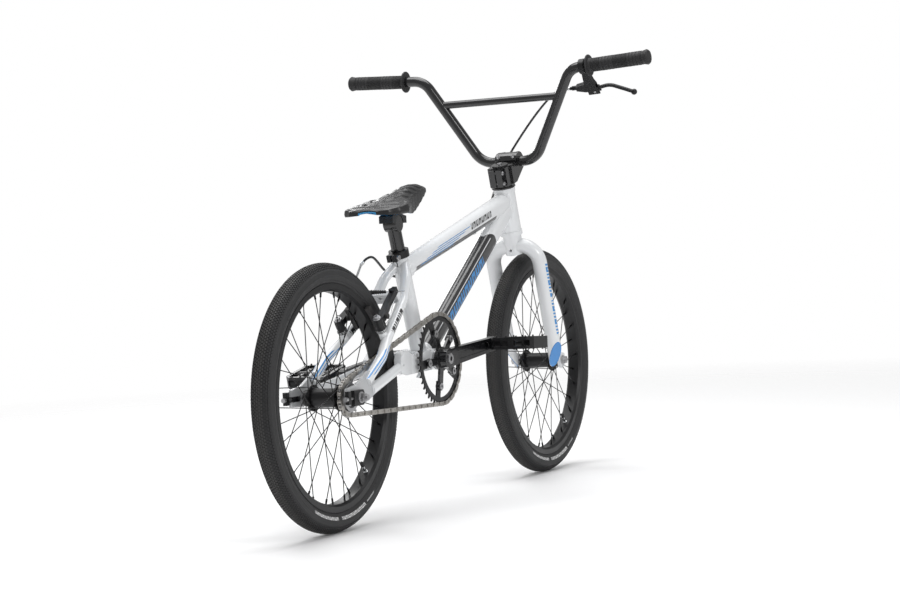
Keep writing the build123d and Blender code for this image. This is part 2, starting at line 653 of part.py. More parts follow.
def hub_shell(left_flange, right_flange, left_end, right_end, waist):
    """A turned hub with a flange near each end and a seat for a bearing inside each end."""
    shell = ring(right_end, left_end, 15.5) + ring(right_flange, left_flange, waist)
    for flange in (left_flange, right_flange):
        disc = ring(flange - flange_half, flange + flange_half, flange_radius)
        holes = []
        for index in range(spokes_per_side):
            angle = 360.0 / spokes_per_side * index + (0 if flange > 0 else 180.0 / spokes_per_side)
            hole = ring(flange - 3, flange + 3, spoke_radius + 0.15)
            holes.append(Rot(0, angle, 0) * Pos(0, 0, flange_hole_circle) * hole)
        shell = shell + (disc - holes)
    return shell - ring(right_end - 5, left_end + 5, axle_radius + 2.5) \
        - ring(left_end - 8, left_end + 1, 13.0) - ring(right_end - 1, right_end + 8, 13.0)


def make_axle(axle, name, left, right, hub_left, hub_right, half_width, washer_gap):
    """Axle with its cones, fixed to the frame or fork, its bearings and its end nuts."""
    shaft = ring(right, left, axle_radius)
    cones = ring(hub_left + clear, half_width, 9.0) + ring(-half_width, hub_right - clear, 9.0)
    keep(name + "_axle", *place(axle, [shaft + cones]))
    bearing = ring(0, 7.5, 13.0, axle_radius + running)
    seats = [Pos(0, hub_left - 8, 0) * bearing, Pos(0, hub_right + 0.5, 0) * bearing]
    keep(name + "_hub", *place(axle, seats))
    nuts = []
    for side in (1, -1):
        inner = half_width + washer_gap
        washer = ring(0, 1.6, 10.5, axle_radius)
        nut = extrude(Plane.XZ * RegularPolygon(8.6, 6), -8) - ring(-5, 20, axle_radius)
        pieces = [Pos(0, inner, 0) * washer, Pos(0, inner + 1.6, 0) * nut]
        nuts += [mirror(piece, about=Plane.XZ) for piece in pieces] if side < 0 else pieces
    keep(name + "_axle", *place(axle, nuts))


def make_wheel(axle, name, left_flange, right_flange, left_end, right_end, waist):
    make_rim_and_tyre(axle, name)
    spokes, nipples = wheel_spokes(left_flange, right_flange)
    keep(name + "_spokes", *place(axle, spokes))
    keep(name + "_spokes", *place(axle, nipples))
    keep(name + "_hub", *place(axle, [hub_shell(left_flange, right_flange, left_end, right_end, waist)]))


tensioner_thick = 8.0
front_hub_end = 42.0
rear_hub_left, rear_hub_right = 46.0, -30.0
make_wheel(front_axle, "front", 31.0, -31.0, front_hub_end, -front_hub_end, 16.5)
make_axle(front_axle, "front", 66.0, -66.0, front_hub_end, -front_hub_end, front_hub_width / 2, 6.0)
make_wheel(rear_axle, "rear", 31.0, -25.0, rear_hub_left, rear_hub_right, 18.0)
rear_stack = dropout_thick + tensioner_thick
make_axle(rear_axle, "rear", 84.0, -84.0, rear_hub_left, rear_hub_right, dropout_inner, rear_stack)


def make_tensioners():
    """A block on each axle end with a screw that pulls it back against the dropout's tail."""
    inner = dropout_inner + dropout_thick
    block_outline = [(-24, -14), (10, -14), (14, -8), (14, 8), (10, 14), (-24, 14)]
    block = side_plate(block_outline, inner, inner + tensioner_thick)
    block = block - ring(inner - 5, inner + 20, axle_radius + 0.2)
    screw = rod((-24, inner + 4, 0), (-52, inner + 4, 0), 2.4)
    screw = screw + rod((-46, inner + 4, 0), (-52, inner + 4, 0), 4.4)
    strap_outline = [(-46, -10), (-36.2, -10), (-36.2, 14), (-46, 14)]
    strap = side_plate(strap_outline, inner + clear, inner + tensioner_thick) - screw
    keep("chain_tensioners", *place(rear_axle, both_sides(block) + both_sides(strap)))
    keep("frame_bolts", *[Pos(rear_axle) * piece for piece in both_sides(screw)])


make_tensioners()

# ---------------------------------------------------------------- drivetrain
ring_pitch_radius = chain_pitch / 2 / sin(pi / ring_teeth)
cog_pitch_radius = chain_pitch / 2 / sin(pi / cog_teeth)
centre_span = (bracket - rear_axle).length
span_angle = degrees(atan2(bracket_z - tyre_radius, bracket.X - rear_axle.X))
wrap_angle = degrees(asin((ring_pitch_radius - cog_pitch_radius) / centre_span))
straight = centre_span * cos(radians(wrap_angle))
ring_links = (180 + 2 * wrap_angle) / (360 / ring_teeth)
cog_links = (180 - 2 * wrap_angle) / (360 / cog_teeth)
loop_links = ring_links + cog_links + 2 * straight / chain_pitch
upper_angle = 90 + span_angle + wrap_angle
lower_angle = span_angle - wrap_angle - 90
print("chain loop in links", loop_links)


def polar(centre, radius, angle):
    return Vector(centre.X + radius * cos(radians(angle)), 0, centre.Z + radius * sin(radians(angle)))


def chain_point(links):
    """The chain pin that lies that many links round the loop from the start of the upper run."""
    place_on = (links % chain_links) * loop_links / chain_links
    run = straight / chain_pitch
    if place_on < run:
        start = polar(bracket, ring_pitch_radius, upper_angle)
        end = polar(rear_axle, cog_pitch_radius, upper_angle)
        return start + (end - start) * (place_on / run)
    place_on -= run
    if place_on < cog_links:
        return polar(rear_axle, cog_pitch_radius, upper_angle + place_on * 360 / cog_teeth)
    place_on -= cog_links
    if place_on < run:
        start = polar(rear_axle, cog_pitch_radius, lower_angle)
        end = polar(bracket, ring_pitch_radius, lower_angle)
        return start + (end - start) * (place_on / run)
    place_on -= run
    return polar(bracket, ring_pitch_radius, lower_angle + place_on * 360 / ring_teeth)


def link_plate(y, thick, bore):
    outline = Pos(chain_pitch / 2, 0) * SlotOverall(chain_pitch + plate_height, plate_height)
    plate = extrude(Plane.XZ * outline, thick)
    plate = Pos(0, y + thick, 0) * plate
    if bore:
        for x in (0, chain_pitch):
            plate = plate - Pos(x, 0, 0) * ring(y - 1, y + thick + 1, bore)
    return plate


def make_chain():
    pin, bush = 1.8, 2.5
    outer = link_plate(2.95, 1.0, 0) + link_plate(-3.95, 1.0, 0)
    inner = link_plate(1.75, 1.0, pin + running) + link_plate(-2.75, 1.0, pin + running)
    for x in (0, chain_pitch):
        outer = outer + Pos(x, 0, 0) * ring(-4.6, 4.6, pin)
        inner = inner + Pos(x, 0, 0) * ring(-2.0, 2.0, bush, pin + running)
    roller = ring(-1.65, 1.65, roller_radius, bush + running)
    outers, inners, rollers = [], [], []
    for index in range(chain_links):
        here, onward = chain_point(index), chain_point(index + 1)
        angle = degrees(atan2(onward.Z - here.Z, onward.X - here.X))
        middle = (here + onward) / 2 + Vector(0, -chain_line, 0)
        link = outer if index % 2 else inner
        placed = Pos(middle) * Rot(0, -angle, 0) * Pos(-chain_pitch / 2, 0, 0) * link
        (outers if index % 2 else inners).append(placed)
        rollers.append(Pos(here + Vector(0, -chain_line, 0)) * roller)
    keep("chain_outer_links", *outers)
    keep("chain_inner_links", *inners)
    keep("chain_inner_links", *rollers)


def sprocket(centre, teeth, pitch_radius, first_pin, bore):
    """A toothed disc whose gaps sit under the chain's rollers."""
    tip_radius = pitch_radius + 3.6
    disc = ring(-tooth_thickness / 2, tooth_thickness / 2, tip_radius, bore)
    start = atan2(first_pin.Z - centre.Z, first_pin.X - centre.X)
    gaps = []
    for index in range(teeth):
        angle = start + 2 * pi * index / teeth
        gap = Pos(pitch_radius, 0, 0) * ring(-3, 3, roller_radius + 0.55)
        low, high = roller_radius + 0.55, roller_radius + 2.2
        edge = tip_radius + 1
        mouth = side_plate([(pitch_radius, -low), (edge, -high), (edge, high), (pitch_radius, low)], -3, 3)
        gaps.append(Rot(0, -degrees(angle), 0) * (gap + mouth))
    return Pos(centre.X, -chain_line, centre.Z) * (disc - gaps)


def pin_near(centre, radius):
    """The first chain pin that lies on the given pitch circle."""
    for index in range(chain_links):
        point = chain_point(index)
        if abs((point - centre).length - radius) < 0.05:
            return point
    return polar(centre, radius, 180)


def make_sprockets():
    core_radius = 19.0
    first_pin = pin_near(rear_axle, cog_pitch_radius)
    cog = sprocket(rear_axle, cog_teeth, cog_pitch_radius, first_pin, core_radius + clear)
    body = ring(-chain_line - 6, -chain_line + 7, 26.0, core_radius + clear)
    cog = cog + Pos(rear_axle) * body
    core = ring(rear_hub_right, -chain_line - 7, core_radius, axle_radius + 5)
    keep("freewheel_cog", cog)
    keep("rear_hub", *place(rear_axle, [core]))

    inner_edge = ring_pitch_radius - 13
    first_pin = pin_near(bracket, ring_pitch_radius)
    chainring = sprocket(bracket, ring_teeth, ring_pitch_radius, first_pin, inner_edge)
    bolts = []
    for index in range(5):
        turn = Rot(0, -(crank_pose + 36 + 72 * index), 0)
        tab = turn * (Pos((inner_edge + 47) / 2, 0, 0) * Box(inner_edge - 47 + 4, tooth_thickness, 17))
        tab = tab - turn * (Pos(bolt_circle_radius, 0, 0) * ring(-5, 5, 5.05))
        chainring = chainring + Pos(bracket.X, -chain_line, bracket.Z) * tab
        low, high = spider_outer, -chain_line + tooth_thickness / 2
        bolt = ring(low, high, 5.0) + ring(high, high + 1.6, 7.0) + ring(low - 1.6, low, 7.0)
        bolt = bolt - ring(low - 2, low + 3, 2.7)
        bolts.append(Pos(bracket) * turn * Pos(bolt_circle_radius, 0, 0) * bolt)
    keep("chainring", chainring)
    keep("crank_bolts", *bolts)


spider_inner = -chain_line - tooth_thickness / 2
spider_outer = spider_inner - 5.0


flute_depth = 2.4


def crank_arm(side):
    """A forged arm along +X, hollowed by a flute along its outer face; side -1 is the rider's right."""
    plan = [
        (-19, 47), (19, 47), (34, 52), (150, 68), (190, 69),
        (190, 83), (160, 83), (34, 67), (19, 66), (-19, 66),
    ]
    plan_face = make_face(Polyline(*[(x, side * y, -30) for x, y in plan], close=True))
    body = extrude(plan_face, 60, dir=(0, 0, 1))
    ends = [(0, 0, -18), (crank_length, 0, -13.5), (crank_length, 0, 13.5), (0, 0, 18)]
    outline = make_face(Polyline(*ends, close=True))
    profile = Pos(0, -100, 0) * extrude(outline, 200, dir=(0, 1, 0))
    profile = profile + ring(-100, 100, 19.0) + Pos(crank_length, 0, 0) * ring(-100, 100, 14.5)
    arm = body & profile
    slope = degrees(atan2(83 - 67, 160 - 34))
    flute = Rot(0, 0, side * slope) * Rot(90, 0, 0) * extrude(SlotOverall(116, 15), flute_depth, both=True)
    flute = Pos(93, side * 75.3, 0) * flute
    return arm - flute


def make_cranks():
    spindle_end = 62.0
    for side, name, extra in ((-1, "crank_arm_right", 0), (1, "crank_arm_left", 180)):
        arm = crank_arm(side)
        if side < 0:
            arm = arm + ring(spider_inner, -50, 24.0)
            for index in range(5):
                spoke = Pos(31, (spider_inner + spider_outer) / 2, 0) * Box(46, 5.0, 15)
                tip = Pos(bolt_circle_radius, 0, 0) * ring(spider_outer, spider_inner, 8.5)
                hole = Pos(bolt_circle_radius, 0, 0) * ring(-60, -40, 5.05)
                arm = arm + Rot(0, -(36 + 72 * index), 0) * (spoke + tip)
                arm = arm - Rot(0, -(36 + 72 * index), 0) * hole
        arm = arm - ring(-spindle_end, spindle_end, spindle_radius) - ring(-80, 80, 9.0)
        arm = arm - Pos(crank_length, 0, 0) * ring(-100, 100, pedal_axle_radius + 2.5)
        turn = Pos(bracket) * Rot(0, -crank_pose - extra, 0)
        keep(name, turn * max(arm.solids(), key=lambda solid: solid.volume))
    spindle = Pos(bracket) * ring(-spindle_end, spindle_end, spindle_radius, 8.0)
    keep("crank_spindle", spindle)
    bolt = ring(60, 69, 7.9) + ring(66, 69, 10.5) - extrude(Plane.XZ.offset(-70) * RegularPolygon(5.2, 6), 8)
    keep("crank_bolts", *[Pos(bracket) * piece for piece in both_sides(bolt)])
    cup = ring(shell_width / 2 - 11, shell_width / 2, shell_bore)
    cup = cup + ring(shell_width / 2, shell_width / 2 + 4, 20.0)
    cup = cup - ring(20, 60, 15.0)
    bearing = ring(shell_width / 2 - 3.5, shell_width / 2 + 3.5, 15.0, spindle_radius + running)
    keep("bottom_bracket_cups", *[Pos(bracket) * piece for piece in both_sides(cup)])
    keep("bottom_bracket_cups", *[Pos(bracket) * piece for piece in both_sides(bearing)])


def make_pedal(side, name, extra):
    """A cage pedal and its axle, at the end of the arm on that side."""
    length, height = pedal_length, pedal_height
    span = pedal_outer - pedal_inner
    middle = (pedal_outer + pedal_inner) / 2
    frame_solid = Pos(0, middle, 0) * Box(length, span, height)
    hollow = Pos(0, middle, 0) * Box(length - 14, span - 16, height + 2)
    cage = frame_solid - hollow
    cage = cage + ring(pedal_inner, pedal_outer - 2, 11.0)
    for left in (-0.25, 0.25):
        cage = cage + Pos(0, middle + left * span, 0) * Box(length - 4, 6, height - 6)
    for corner in (-1, 1):
        cage = cage - Pos(corner * length / 2, pedal_outer, 0) * Rot(0, 0, 45) * Box(16, 16, 60)
        cage = cage - Pos(corner * length / 2, pedal_inner, 0) * Rot(0, 0, 45) * Box(12, 12, 60)
        for window in (-0.25, 0.25):
            opening = Pos(corner * length / 2, middle + window * span, 0) * Box(30, span * 0.36, height - 12)
            cage = cage - (opening - Pos(0, middle, 0) * Box(length - 16, span, height))
    pins = []
    for x in (-length / 2 + 3.6, length / 2 - 3.6):
        for fraction in (-0.34, -0.12, 0.12, 0.34):
            y = middle + fraction * span
            for z in (-1, 1):
                pins.append(rod((x, y, z * height / 2), (x, y, z * (height / 2 + 3)), 1.7))
    cage = cage - ring(pedal_inner - 10, pedal_outer - 8, pedal_axle_radius + running)
    axle = ring(69, pedal_outer - 10, pedal_axle_radius) + ring(68.5, 83.5, pedal_axle_radius + 2.5)
    axle = axle + ring(83.5, pedal_inner - clear, 8.0)
    turn = Pos(bracket) * Rot(0, -crank_pose - extra, 0) * Pos(crank_length, 0, 0)
    level = turn * Rot(0, crank_pose + extra, 0)
    pieces = [cage] + pins
    if side < 0:
        pieces = [mirror(piece, about=Plane.XZ) for piece in pieces]
        axle = mirror(axle, about=Plane.XZ)
    tilt = Rot(0, pedal_tilts[name], 0)
    keep("pedal_body_" + name, *[level * tilt * piece for piece in pieces])
    keep("pedal_axles", level * axle)


pedal_tilts = {"right": 2.0, "left": -12.0}
make_chain()
make_sprockets()
make_cranks()
make_pedal(-1, "right", 0)
make_pedal(1, "left", 180)

# ---------------------------------------------------------------- rear brake and its cable
boss_height = 16.0           # seat of the arm above the stay's centre line
stud_end = 46.0
arm_low, arm_high = 31.0, 43.0
cable_out = brake_pivot_radius + brake_arm_length
cable_off = (arm_low + arm_high) / 2
pad_face = rim_half_width + pad_gap
pad_thick = 9.0
pad_radii = (198.0, 208.0)


def make_brake_studs():
    spot = (brake_pivot_radius, brake_pivot_spread)
    stud = rod((*spot, 2), (*spot, boss_height), 8.0)
    stud = stud + rod((*spot, boss_height), (*spot, stud_end), brake_stud_radius)
    for side, piece in zip((1, -1), both_sides(stud)):
        placed = staying.location * piece
        for stay in parts["seat_stays"]:
            placed = placed - stay
        keep("brake_bridge", max(placed.solids(), key=lambda solid: solid.volume))
    head = rod((*spot, stud_end), (*spot, stud_end + 2), 7.5)
    head = head + rod((*spot, stud_end + 2), (*spot, stud_end + 6), 5.0)
    head = head - rod((*spot, stud_end + 3.5), (*spot, stud_end + 8), 2.6)
    keep("frame_bolts", *[staying.location * piece for piece in both_sides(head)])


def brake_arm():
    """The left arm in the stay frame: sleeve on the stud, a tapering blade, holes for pad and cable."""
    spot = (brake_pivot_radius, brake_pivot_spread)
    sleeve = rod((*spot, boss_height + clear), (*spot, stud_end - clear), 8.5)
    outline = [
        (172, 47), (172, 37), (186, 34.5), (214, 33.5), (240, 30.5), (276, 28), (289, 28),
        (289, 38), (276, 39), (240, 42), (212, 47), (196, 50),
    ]
    face = make_face(Polyline(*[(x, y, arm_low) for x, y in outline], close=True))
    blade = extrude(face, arm_high - arm_low, dir=(0, 0, 1))
    arm = sleeve + blade
    arm = arm - rod((*spot, 0), (*spot, 60), brake_stud_radius + running)
    arm = arm - rod((pad_out, 20, cable_off), (pad_out, 60, cable_off), 3.05)
    return arm


pad_out = 200.0


def make_brake_pad():
    """A cartridge block curved to the rim, with its threaded post, washers and nut."""
    block = ring(pad_face, pad_face + pad_thick, pad_radii[1], pad_radii[0])
    block = block & Pos(pad_out, 20, cable_off) * Box(60, 60, 52)
    post_start = pad_face + pad_thick
    post = rod((pad_out, post_start, cable_off), (pad_out, 54, cable_off), 3.0)
    nut = rod((pad_out, 50, cable_off), (pad_out, 55, cable_off), 5.2)
    cup = rod((pad_out, 29.5, cable_off), (pad_out, 33.4, cable_off), 6.5)
    return block + post + cup + nut


def make_rear_brake():
    make_brake_studs()
    arm = brake_arm()
    pad = make_brake_pad() - arm
    noodle_hole = rod((cable_out, 20, cable_off), (cable_out, 60, cable_off), housing_radius + 0.1)
    wire_hole = rod((cable_out, 20, cable_off), (cable_out, 60, cable_off), wire_radius + 0.2)
    keep("brake_arm_left", staying.location * (arm - noodle_hole))
    keep("brake_arm_right", staying.location * mirror(arm - wire_hole, about=Plane.XZ))
    anchor = rod((cable_out - 8, 33, arm_high), (cable_out - 8, 33, arm_high + 5), 4.5)
    keep("brake_arm_right", staying.location * mirror(anchor, about=Plane.XZ))
    left, right = both_sides(max(pad.solids(), key=lambda solid: solid.volume))
    keep("brake_pad_left", staying.location * left)
    keep("brake_pad_right", staying.location * right)


noodle_points = [
    Vector(-262.0, 34.0, 487.0),
    stay_point(cable_out, 62.0, cable_off),
    stay_point(cable_out, 22.0, cable_off),
]
rear_stop = Vector(-92.0, 12.0, 464.0)
front_stop = Vector(200.0, 14.0, 539.0)
ferrule_length = 11.0
rear_housing_points = [
    (-103.0, 15.0, 460.0),
    (-124.0, 24.0, 457.0),
    (-150.0, 31.0, 461.0),
    (-177.0, 33.0, 476.0),
    (-202.0, 31.0, 491.0),
    (-226.0, 28.0, 501.0),
    (-248.0, 28.0, 500.0),
    noodle_points[0],
]
front_housing_points = [
    lever_barrel_end,
    (366.0, -132.0, 838.0),
    (382.0, -106.0, 829.0),
    (397.0, -76.0, 810.0),
    (408.0, -42.0, 780.0),
    (414.0, -8.0, 743.0),
    (411.0, 22.0, 702.0),
    (395.0, 40.0, 658.0),
    (367.0, 43.0, 617.0),
    (333.0, 38.0, 585.0),
    (295.0, 33.0, 563.0),
    (256.0, 27.0, 552.0),
    (224.0, 18.5, 543.5),
    (211.0, 15.5, 541.0),
]


def make_cables():
    turn = radians((noodle_points[1] - noodle_points[0]).get_angle(noodle_points[2] - noodle_points[1]))
    noodle_radius = 0.56 * (noodle_points[2] - noodle_points[1]).length / tan(turn / 2)
    noodle = bent(noodle_points, [noodle_radius], housing_radius - 0.2, wire_radius + 0.1)
    keep("brake_noodle", noodle)
    boot_profile = [(22, 1.0), (22, 4.0), (18, 4.6)]
    ribs = 6
    for index in range(ribs):
        left = 18 - index * 5.0
        boot_profile += [(left - 1.2, 3.4), (left - 3.0, 4.9 - 0.25 * index)]
    boot_profile += [(-16, 2.4), (-16, 1.0)]
    face = make_face(Polyline(*[(radius, y, 0) for y, radius in boot_profile], close=True))
    boot = revolve(face, Axis.Y)
    boot = staying.location * (Pos(cable_out, 0, cable_off) * boot)
    keep("brake_cable_boot", boot)
    wire = rod(stay_point(cable_out, 21.9, cable_off), stay_point(cable_out, -56, cable_off), wire_radius)
    bare = rod(front_stop, rear_stop, wire_radius)
    keep("brake_inner_wire", wire, bare)
    joints = [noodle] + parts["brake_lever_bracket"]
    for stop, start in ((rear_stop, rear_housing_points[0]), (front_stop, front_housing_points[-1])):
        away = (Vector(start) - stop).normalized()
        ferrule = rod(stop, start, housing_radius + 2.2, wire_radius + 0.2)
        middle = stop + away * ferrule_length / 2
        strut = Plane(origin=middle, x_dir=away, z_dir=(0, -0.2, 1)) * Pos(0, 0, 6) * Box(8, 3, 12)
        strut = strut - rod(stop - away * 5, Vector(start) + away * 5, wire_radius + 0.2)
        stop_solid = (ferrule + strut) - top_solid - down_solid - seat_solid
        stop_solid = max(stop_solid.solids(), key=lambda solid: solid.volume)
        joints.append(stop_solid)
        keep("brake_bridge", stop_solid)
    routes = {"brake_housing_rear": rear_housing_points, "brake_housing_front": front_housing_points}
    for name, points in routes.items():
        radii = cable_radii(points)
        print(name, "radii", [round(radius, 1) for radius in radii])
        housing = bent(points, radii, housing_radius)
        for joint in joints:
            housing = housing - joint
        keep(name, max(housing.solids(), key=lambda solid: solid.volume))


make_rear_brake()
make_cables()


def write_parts():
    os.makedirs("parts", exist_ok=True)
    for name, solids in parts.items():
        export_step(solids[0] if len(solids) == 1 else Compound(children=solids), f"parts/{name}.step")


write_parts()
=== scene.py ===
# %% [markdown]
# # A BMX race bicycle
# The bicycle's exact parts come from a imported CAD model. Those solids already have the
# right shape and place, so this lesson only gives them finishes, and builds the pieces
# that CAD leaves plain: treads, grips, cables, the saddle's shell, welds and valves.

# %% Load the frame
import json
from math import cos, pi, radians, sin
import bpy
import bmesh
from mathutils import Matrix, Vector


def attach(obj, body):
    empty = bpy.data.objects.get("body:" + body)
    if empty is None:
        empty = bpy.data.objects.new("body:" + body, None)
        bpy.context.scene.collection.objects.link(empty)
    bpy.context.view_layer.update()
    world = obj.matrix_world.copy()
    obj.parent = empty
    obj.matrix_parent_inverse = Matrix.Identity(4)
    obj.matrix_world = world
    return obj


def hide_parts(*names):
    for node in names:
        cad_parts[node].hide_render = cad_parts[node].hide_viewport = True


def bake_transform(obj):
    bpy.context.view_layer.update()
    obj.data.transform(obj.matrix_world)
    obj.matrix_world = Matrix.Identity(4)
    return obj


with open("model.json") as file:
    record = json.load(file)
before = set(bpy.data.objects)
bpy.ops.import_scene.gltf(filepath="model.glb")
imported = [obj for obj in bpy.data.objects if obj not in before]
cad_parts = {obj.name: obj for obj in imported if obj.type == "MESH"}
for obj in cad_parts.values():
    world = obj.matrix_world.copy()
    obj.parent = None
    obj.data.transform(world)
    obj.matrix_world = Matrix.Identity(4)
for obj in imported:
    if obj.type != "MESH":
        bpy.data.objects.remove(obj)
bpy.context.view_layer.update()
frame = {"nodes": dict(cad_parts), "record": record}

nodes = frame["nodes"]

# %% [markdown]
# ## Sizes and frames
# A piece lands in the right place only if it starts from the same points as the real
# part. These few points (in millimetres) repeat the bicycle's layout: two axles, the
# steering axis, the seat tube, and the two ends of each painted tube.

# %% Sizes
MM = 0.001
wheelbase, wheel_radius, rim_inner_radius = 951.0, 248.0, 195.0
fork_offset, fork_leg_radius, fork_leg_spread = 30.0, 16.0, 55.0
bar_radius, bar_half_width = 11.1, 353.0
head_tube_radius, seat_tube_radius, shell_radius = 22.5, 15.9, 21.0
housing_radius, spring_wire_radius = 2.5, 0.75
brake_pivot_out, brake_pivot_spread = 180.0, 42.0

# %% Layout points
front_axle = Vector((wheelbase / 2, 0, wheel_radius))
rear_axle = Vector((-wheelbase / 2, 0, wheel_radius))
head_angle, seat_angle, stay_slope = radians(74), radians(72.5), radians(33.1)
ahead, across, upwards = Vector((1, 0, 0)), Vector((0, 1, 0)), Vector((0, 0, 1))
steer_up = Vector((-cos(head_angle), 0, sin(head_angle)))
steer_forward = Vector((sin(head_angle), 0, cos(head_angle)))
steer_base = front_axle - steer_forward * fork_offset
seat_up = Vector((-cos(seat_angle), 0, sin(seat_angle)))
seat_forward = Vector((sin(seat_angle), 0, cos(seat_angle)))
stay_out = Vector((cos(stay_slope), 0, sin(stay_slope)))
stay_off = Vector((-sin(stay_slope), 0, cos(stay_slope)))
bracket = Vector((-101.4, 0, 291.7))
top_rear, top_front = Vector((-160.0, 0, 472.1)), Vector((342.1, 0, 604.2))
down_rear, down_front = bracket, Vector((344.5, 0, 594.5))


def steer_point(forward, left, up):
    return steer_base + steer_forward * forward + across * left + steer_up * up


def stay_point(out, left, off):
    return rear_axle + stay_out * out + across * left + stay_off * off


print("steering foot", steer_base, "rear stay points towards", stay_out)

# %% [markdown]
# ## Writing masks as arithmetic
# Paint lines and printed marks are places where a number, such as the distance along a
# tube, lies between two limits. Wiring Math nodes by hand hides that idea, so the Field
# class lets the script write the sum, and makes one node for each operation.


# %% The Field helper
class Field:
    """A number that changes over the surface, written as ordinary arithmetic."""

    def __init__(self, tree, socket):
        self.tree, self.socket = tree, socket

    def operate(self, operation, *others):
        node = self.tree.nodes.new("ShaderNodeMath")
        node.operation = operation
        for index, value in enumerate((self, *others)):
            if isinstance(value, Field):
                self.tree.links.new(value.socket, node.inputs[index])
            else:
                node.inputs[index].default_value = value
        return Field(self.tree, node.outputs[0])

    def __add__(self, other):
        return self.operate("ADD", other)

    def __sub__(self, other):
        return self.operate("SUBTRACT", other)

    def __mul__(self, other):
        return self.operate("MULTIPLY", other)

    def __truediv__(self, other):
        return self.operate("DIVIDE", other)

    def __invert__(self):
        return (self * -1.0) + 1.0

    def above(self, level, soft=0.3):
        """0 below the level and 1 above it, over a short ramp so that edges stay smooth."""
        ramp = ((self - level) / soft).operate("ADD", 0.5)
        return ramp.operate("MAXIMUM", 0.0).operate("MINIMUM", 1.0)

    def between(self, low, high, soft=0.3):
        return self.above(low, soft) * ~self.above(high, soft)

    def either(self, other):
        return self.operate("MAXIMUM", other)


def place_on(tree, origin, direction):
    """Distance in millimetres from a point along a direction, in the part's own coordinates."""
    coordinates = tree.nodes.new("ShaderNodeTexCoord")
    shift = tree.nodes.new("ShaderNodeVectorMath")
    shift.operation = "SUBTRACT"
    shift.inputs[1].default_value = Vector(origin) * MM
    tree.links.new(coordinates.outputs["Object"], shift.inputs[0])
    dot = tree.nodes.new("ShaderNodeVectorMath")
    dot.operation = "DOT_PRODUCT"
    dot.inputs[1].default_value = Vector(direction) / MM
    tree.links.new(shift.outputs[0], dot.inputs[0])
    return Field(tree, dot.outputs["Value"])


def mix_colour(tree, mask, below, over):
    """One colour where the mask is 0, another where it is 1."""
    node = tree.nodes.new("ShaderNodeMix")
    node.data_type = "RGBA"
    tree.links.new(mask.socket, node.inputs["Factor"])
    for name, value in (("A", below), ("B", over)):
        socket = next(s for s in node.inputs if s.name == name and s.type == "RGBA")
        if isinstance(value, bpy.types.NodeSocket):
            tree.links.new(value, socket)
        else:
            socket.default_value = (*value, 1.0)
    return next(s for s in node.outputs if s.type == "RGBA")


# %% [markdown]
# ## Shared effects as node groups
# Every real surface has soft edges, a fine texture and a little uneven gloss. Each is
# built once as a node group with named inputs, and every finish places the group with
# its own values. The shader itself stays in the material, where the export reads it.


# %% Group: soft edges
def new_group(name, inputs, outputs):
    group = bpy.data.node_groups.new(name, "ShaderNodeTree")
    for label, kind, value in inputs:
        kind = "NodeSocket" + kind
        socket = group.interface.new_socket(name=label, in_out="INPUT", socket_type=kind)
        if value is not None:
            socket.default_value = value
    for label, kind in outputs:
        group.interface.new_socket(name=label, in_out="OUTPUT", socket_type="NodeSocket" + kind)
    return group, group.nodes.new("NodeGroupInput"), group.nodes.new("NodeGroupOutput")


soft_edge, inside, outside = new_group(
    "soft_edge", [("Radius", "Float", 0.0004)], [("Normal", "Vector"), ("Edge", "Float")]
)
bevel = soft_edge.nodes.new("ShaderNodeBevel")
bevel.samples = 6
geometry = soft_edge.nodes.new("ShaderNodeNewGeometry")
facing = soft_edge.nodes.new("ShaderNodeVectorMath")
facing.operation = "DOT_PRODUCT"
soft_edge.links.new(inside.outputs["Radius"], bevel.inputs["Radius"])
soft_edge.links.new(bevel.outputs[0], facing.inputs[0])
soft_edge.links.new(geometry.outputs["Normal"], facing.inputs[1])
edge_gain = 6.0
edge = (~Field(soft_edge, facing.outputs["Value"])) * edge_gain
soft_edge.links.new(edge.operate("MINIMUM", 1.0).socket, outside.inputs["Edge"])
soft_edge.links.new(bevel.outputs[0], outside.inputs["Normal"])
print("group", soft_edge.name)

# %% Group: grain
grain, inside, outside = new_group(
    "grain",
    [("Normal", "Vector", None), ("Size", "Float", 600.0), ("Depth", "Float", 0.2)],
    [("Normal", "Vector"), ("Cloud", "Float"), ("Fine", "Float")],
)
coordinates = grain.nodes.new("ShaderNodeTexCoord")
fine = grain.nodes.new("ShaderNodeTexNoise")
fine.inputs["Detail"].default_value = 3.0
cloud = grain.nodes.new("ShaderNodeTexNoise")
cloud.inputs["Scale"].default_value = 22.0
cloud.inputs["Detail"].default_value = 5.0
for texture in (fine, cloud):
    grain.links.new(coordinates.outputs["Object"], texture.inputs["Vector"])
grain.links.new(inside.outputs["Size"], fine.inputs["Scale"])
bump = grain.nodes.new("ShaderNodeBump")
bump.inputs["Distance"].default_value = 0.0002
grain.links.new(inside.outputs["Depth"], bump.inputs["Strength"])
grain.links.new(fine.outputs["Fac"], bump.inputs["Height"])
grain.links.new(inside.outputs["Normal"], bump.inputs["Normal"])
grain.links.new(bump.outputs[0], outside.inputs["Normal"])
grain.links.new(cloud.outputs["Fac"], outside.inputs["Cloud"])
grain.links.new(fine.outputs["Fac"], outside.inputs["Fine"])
print("group", grain.name)

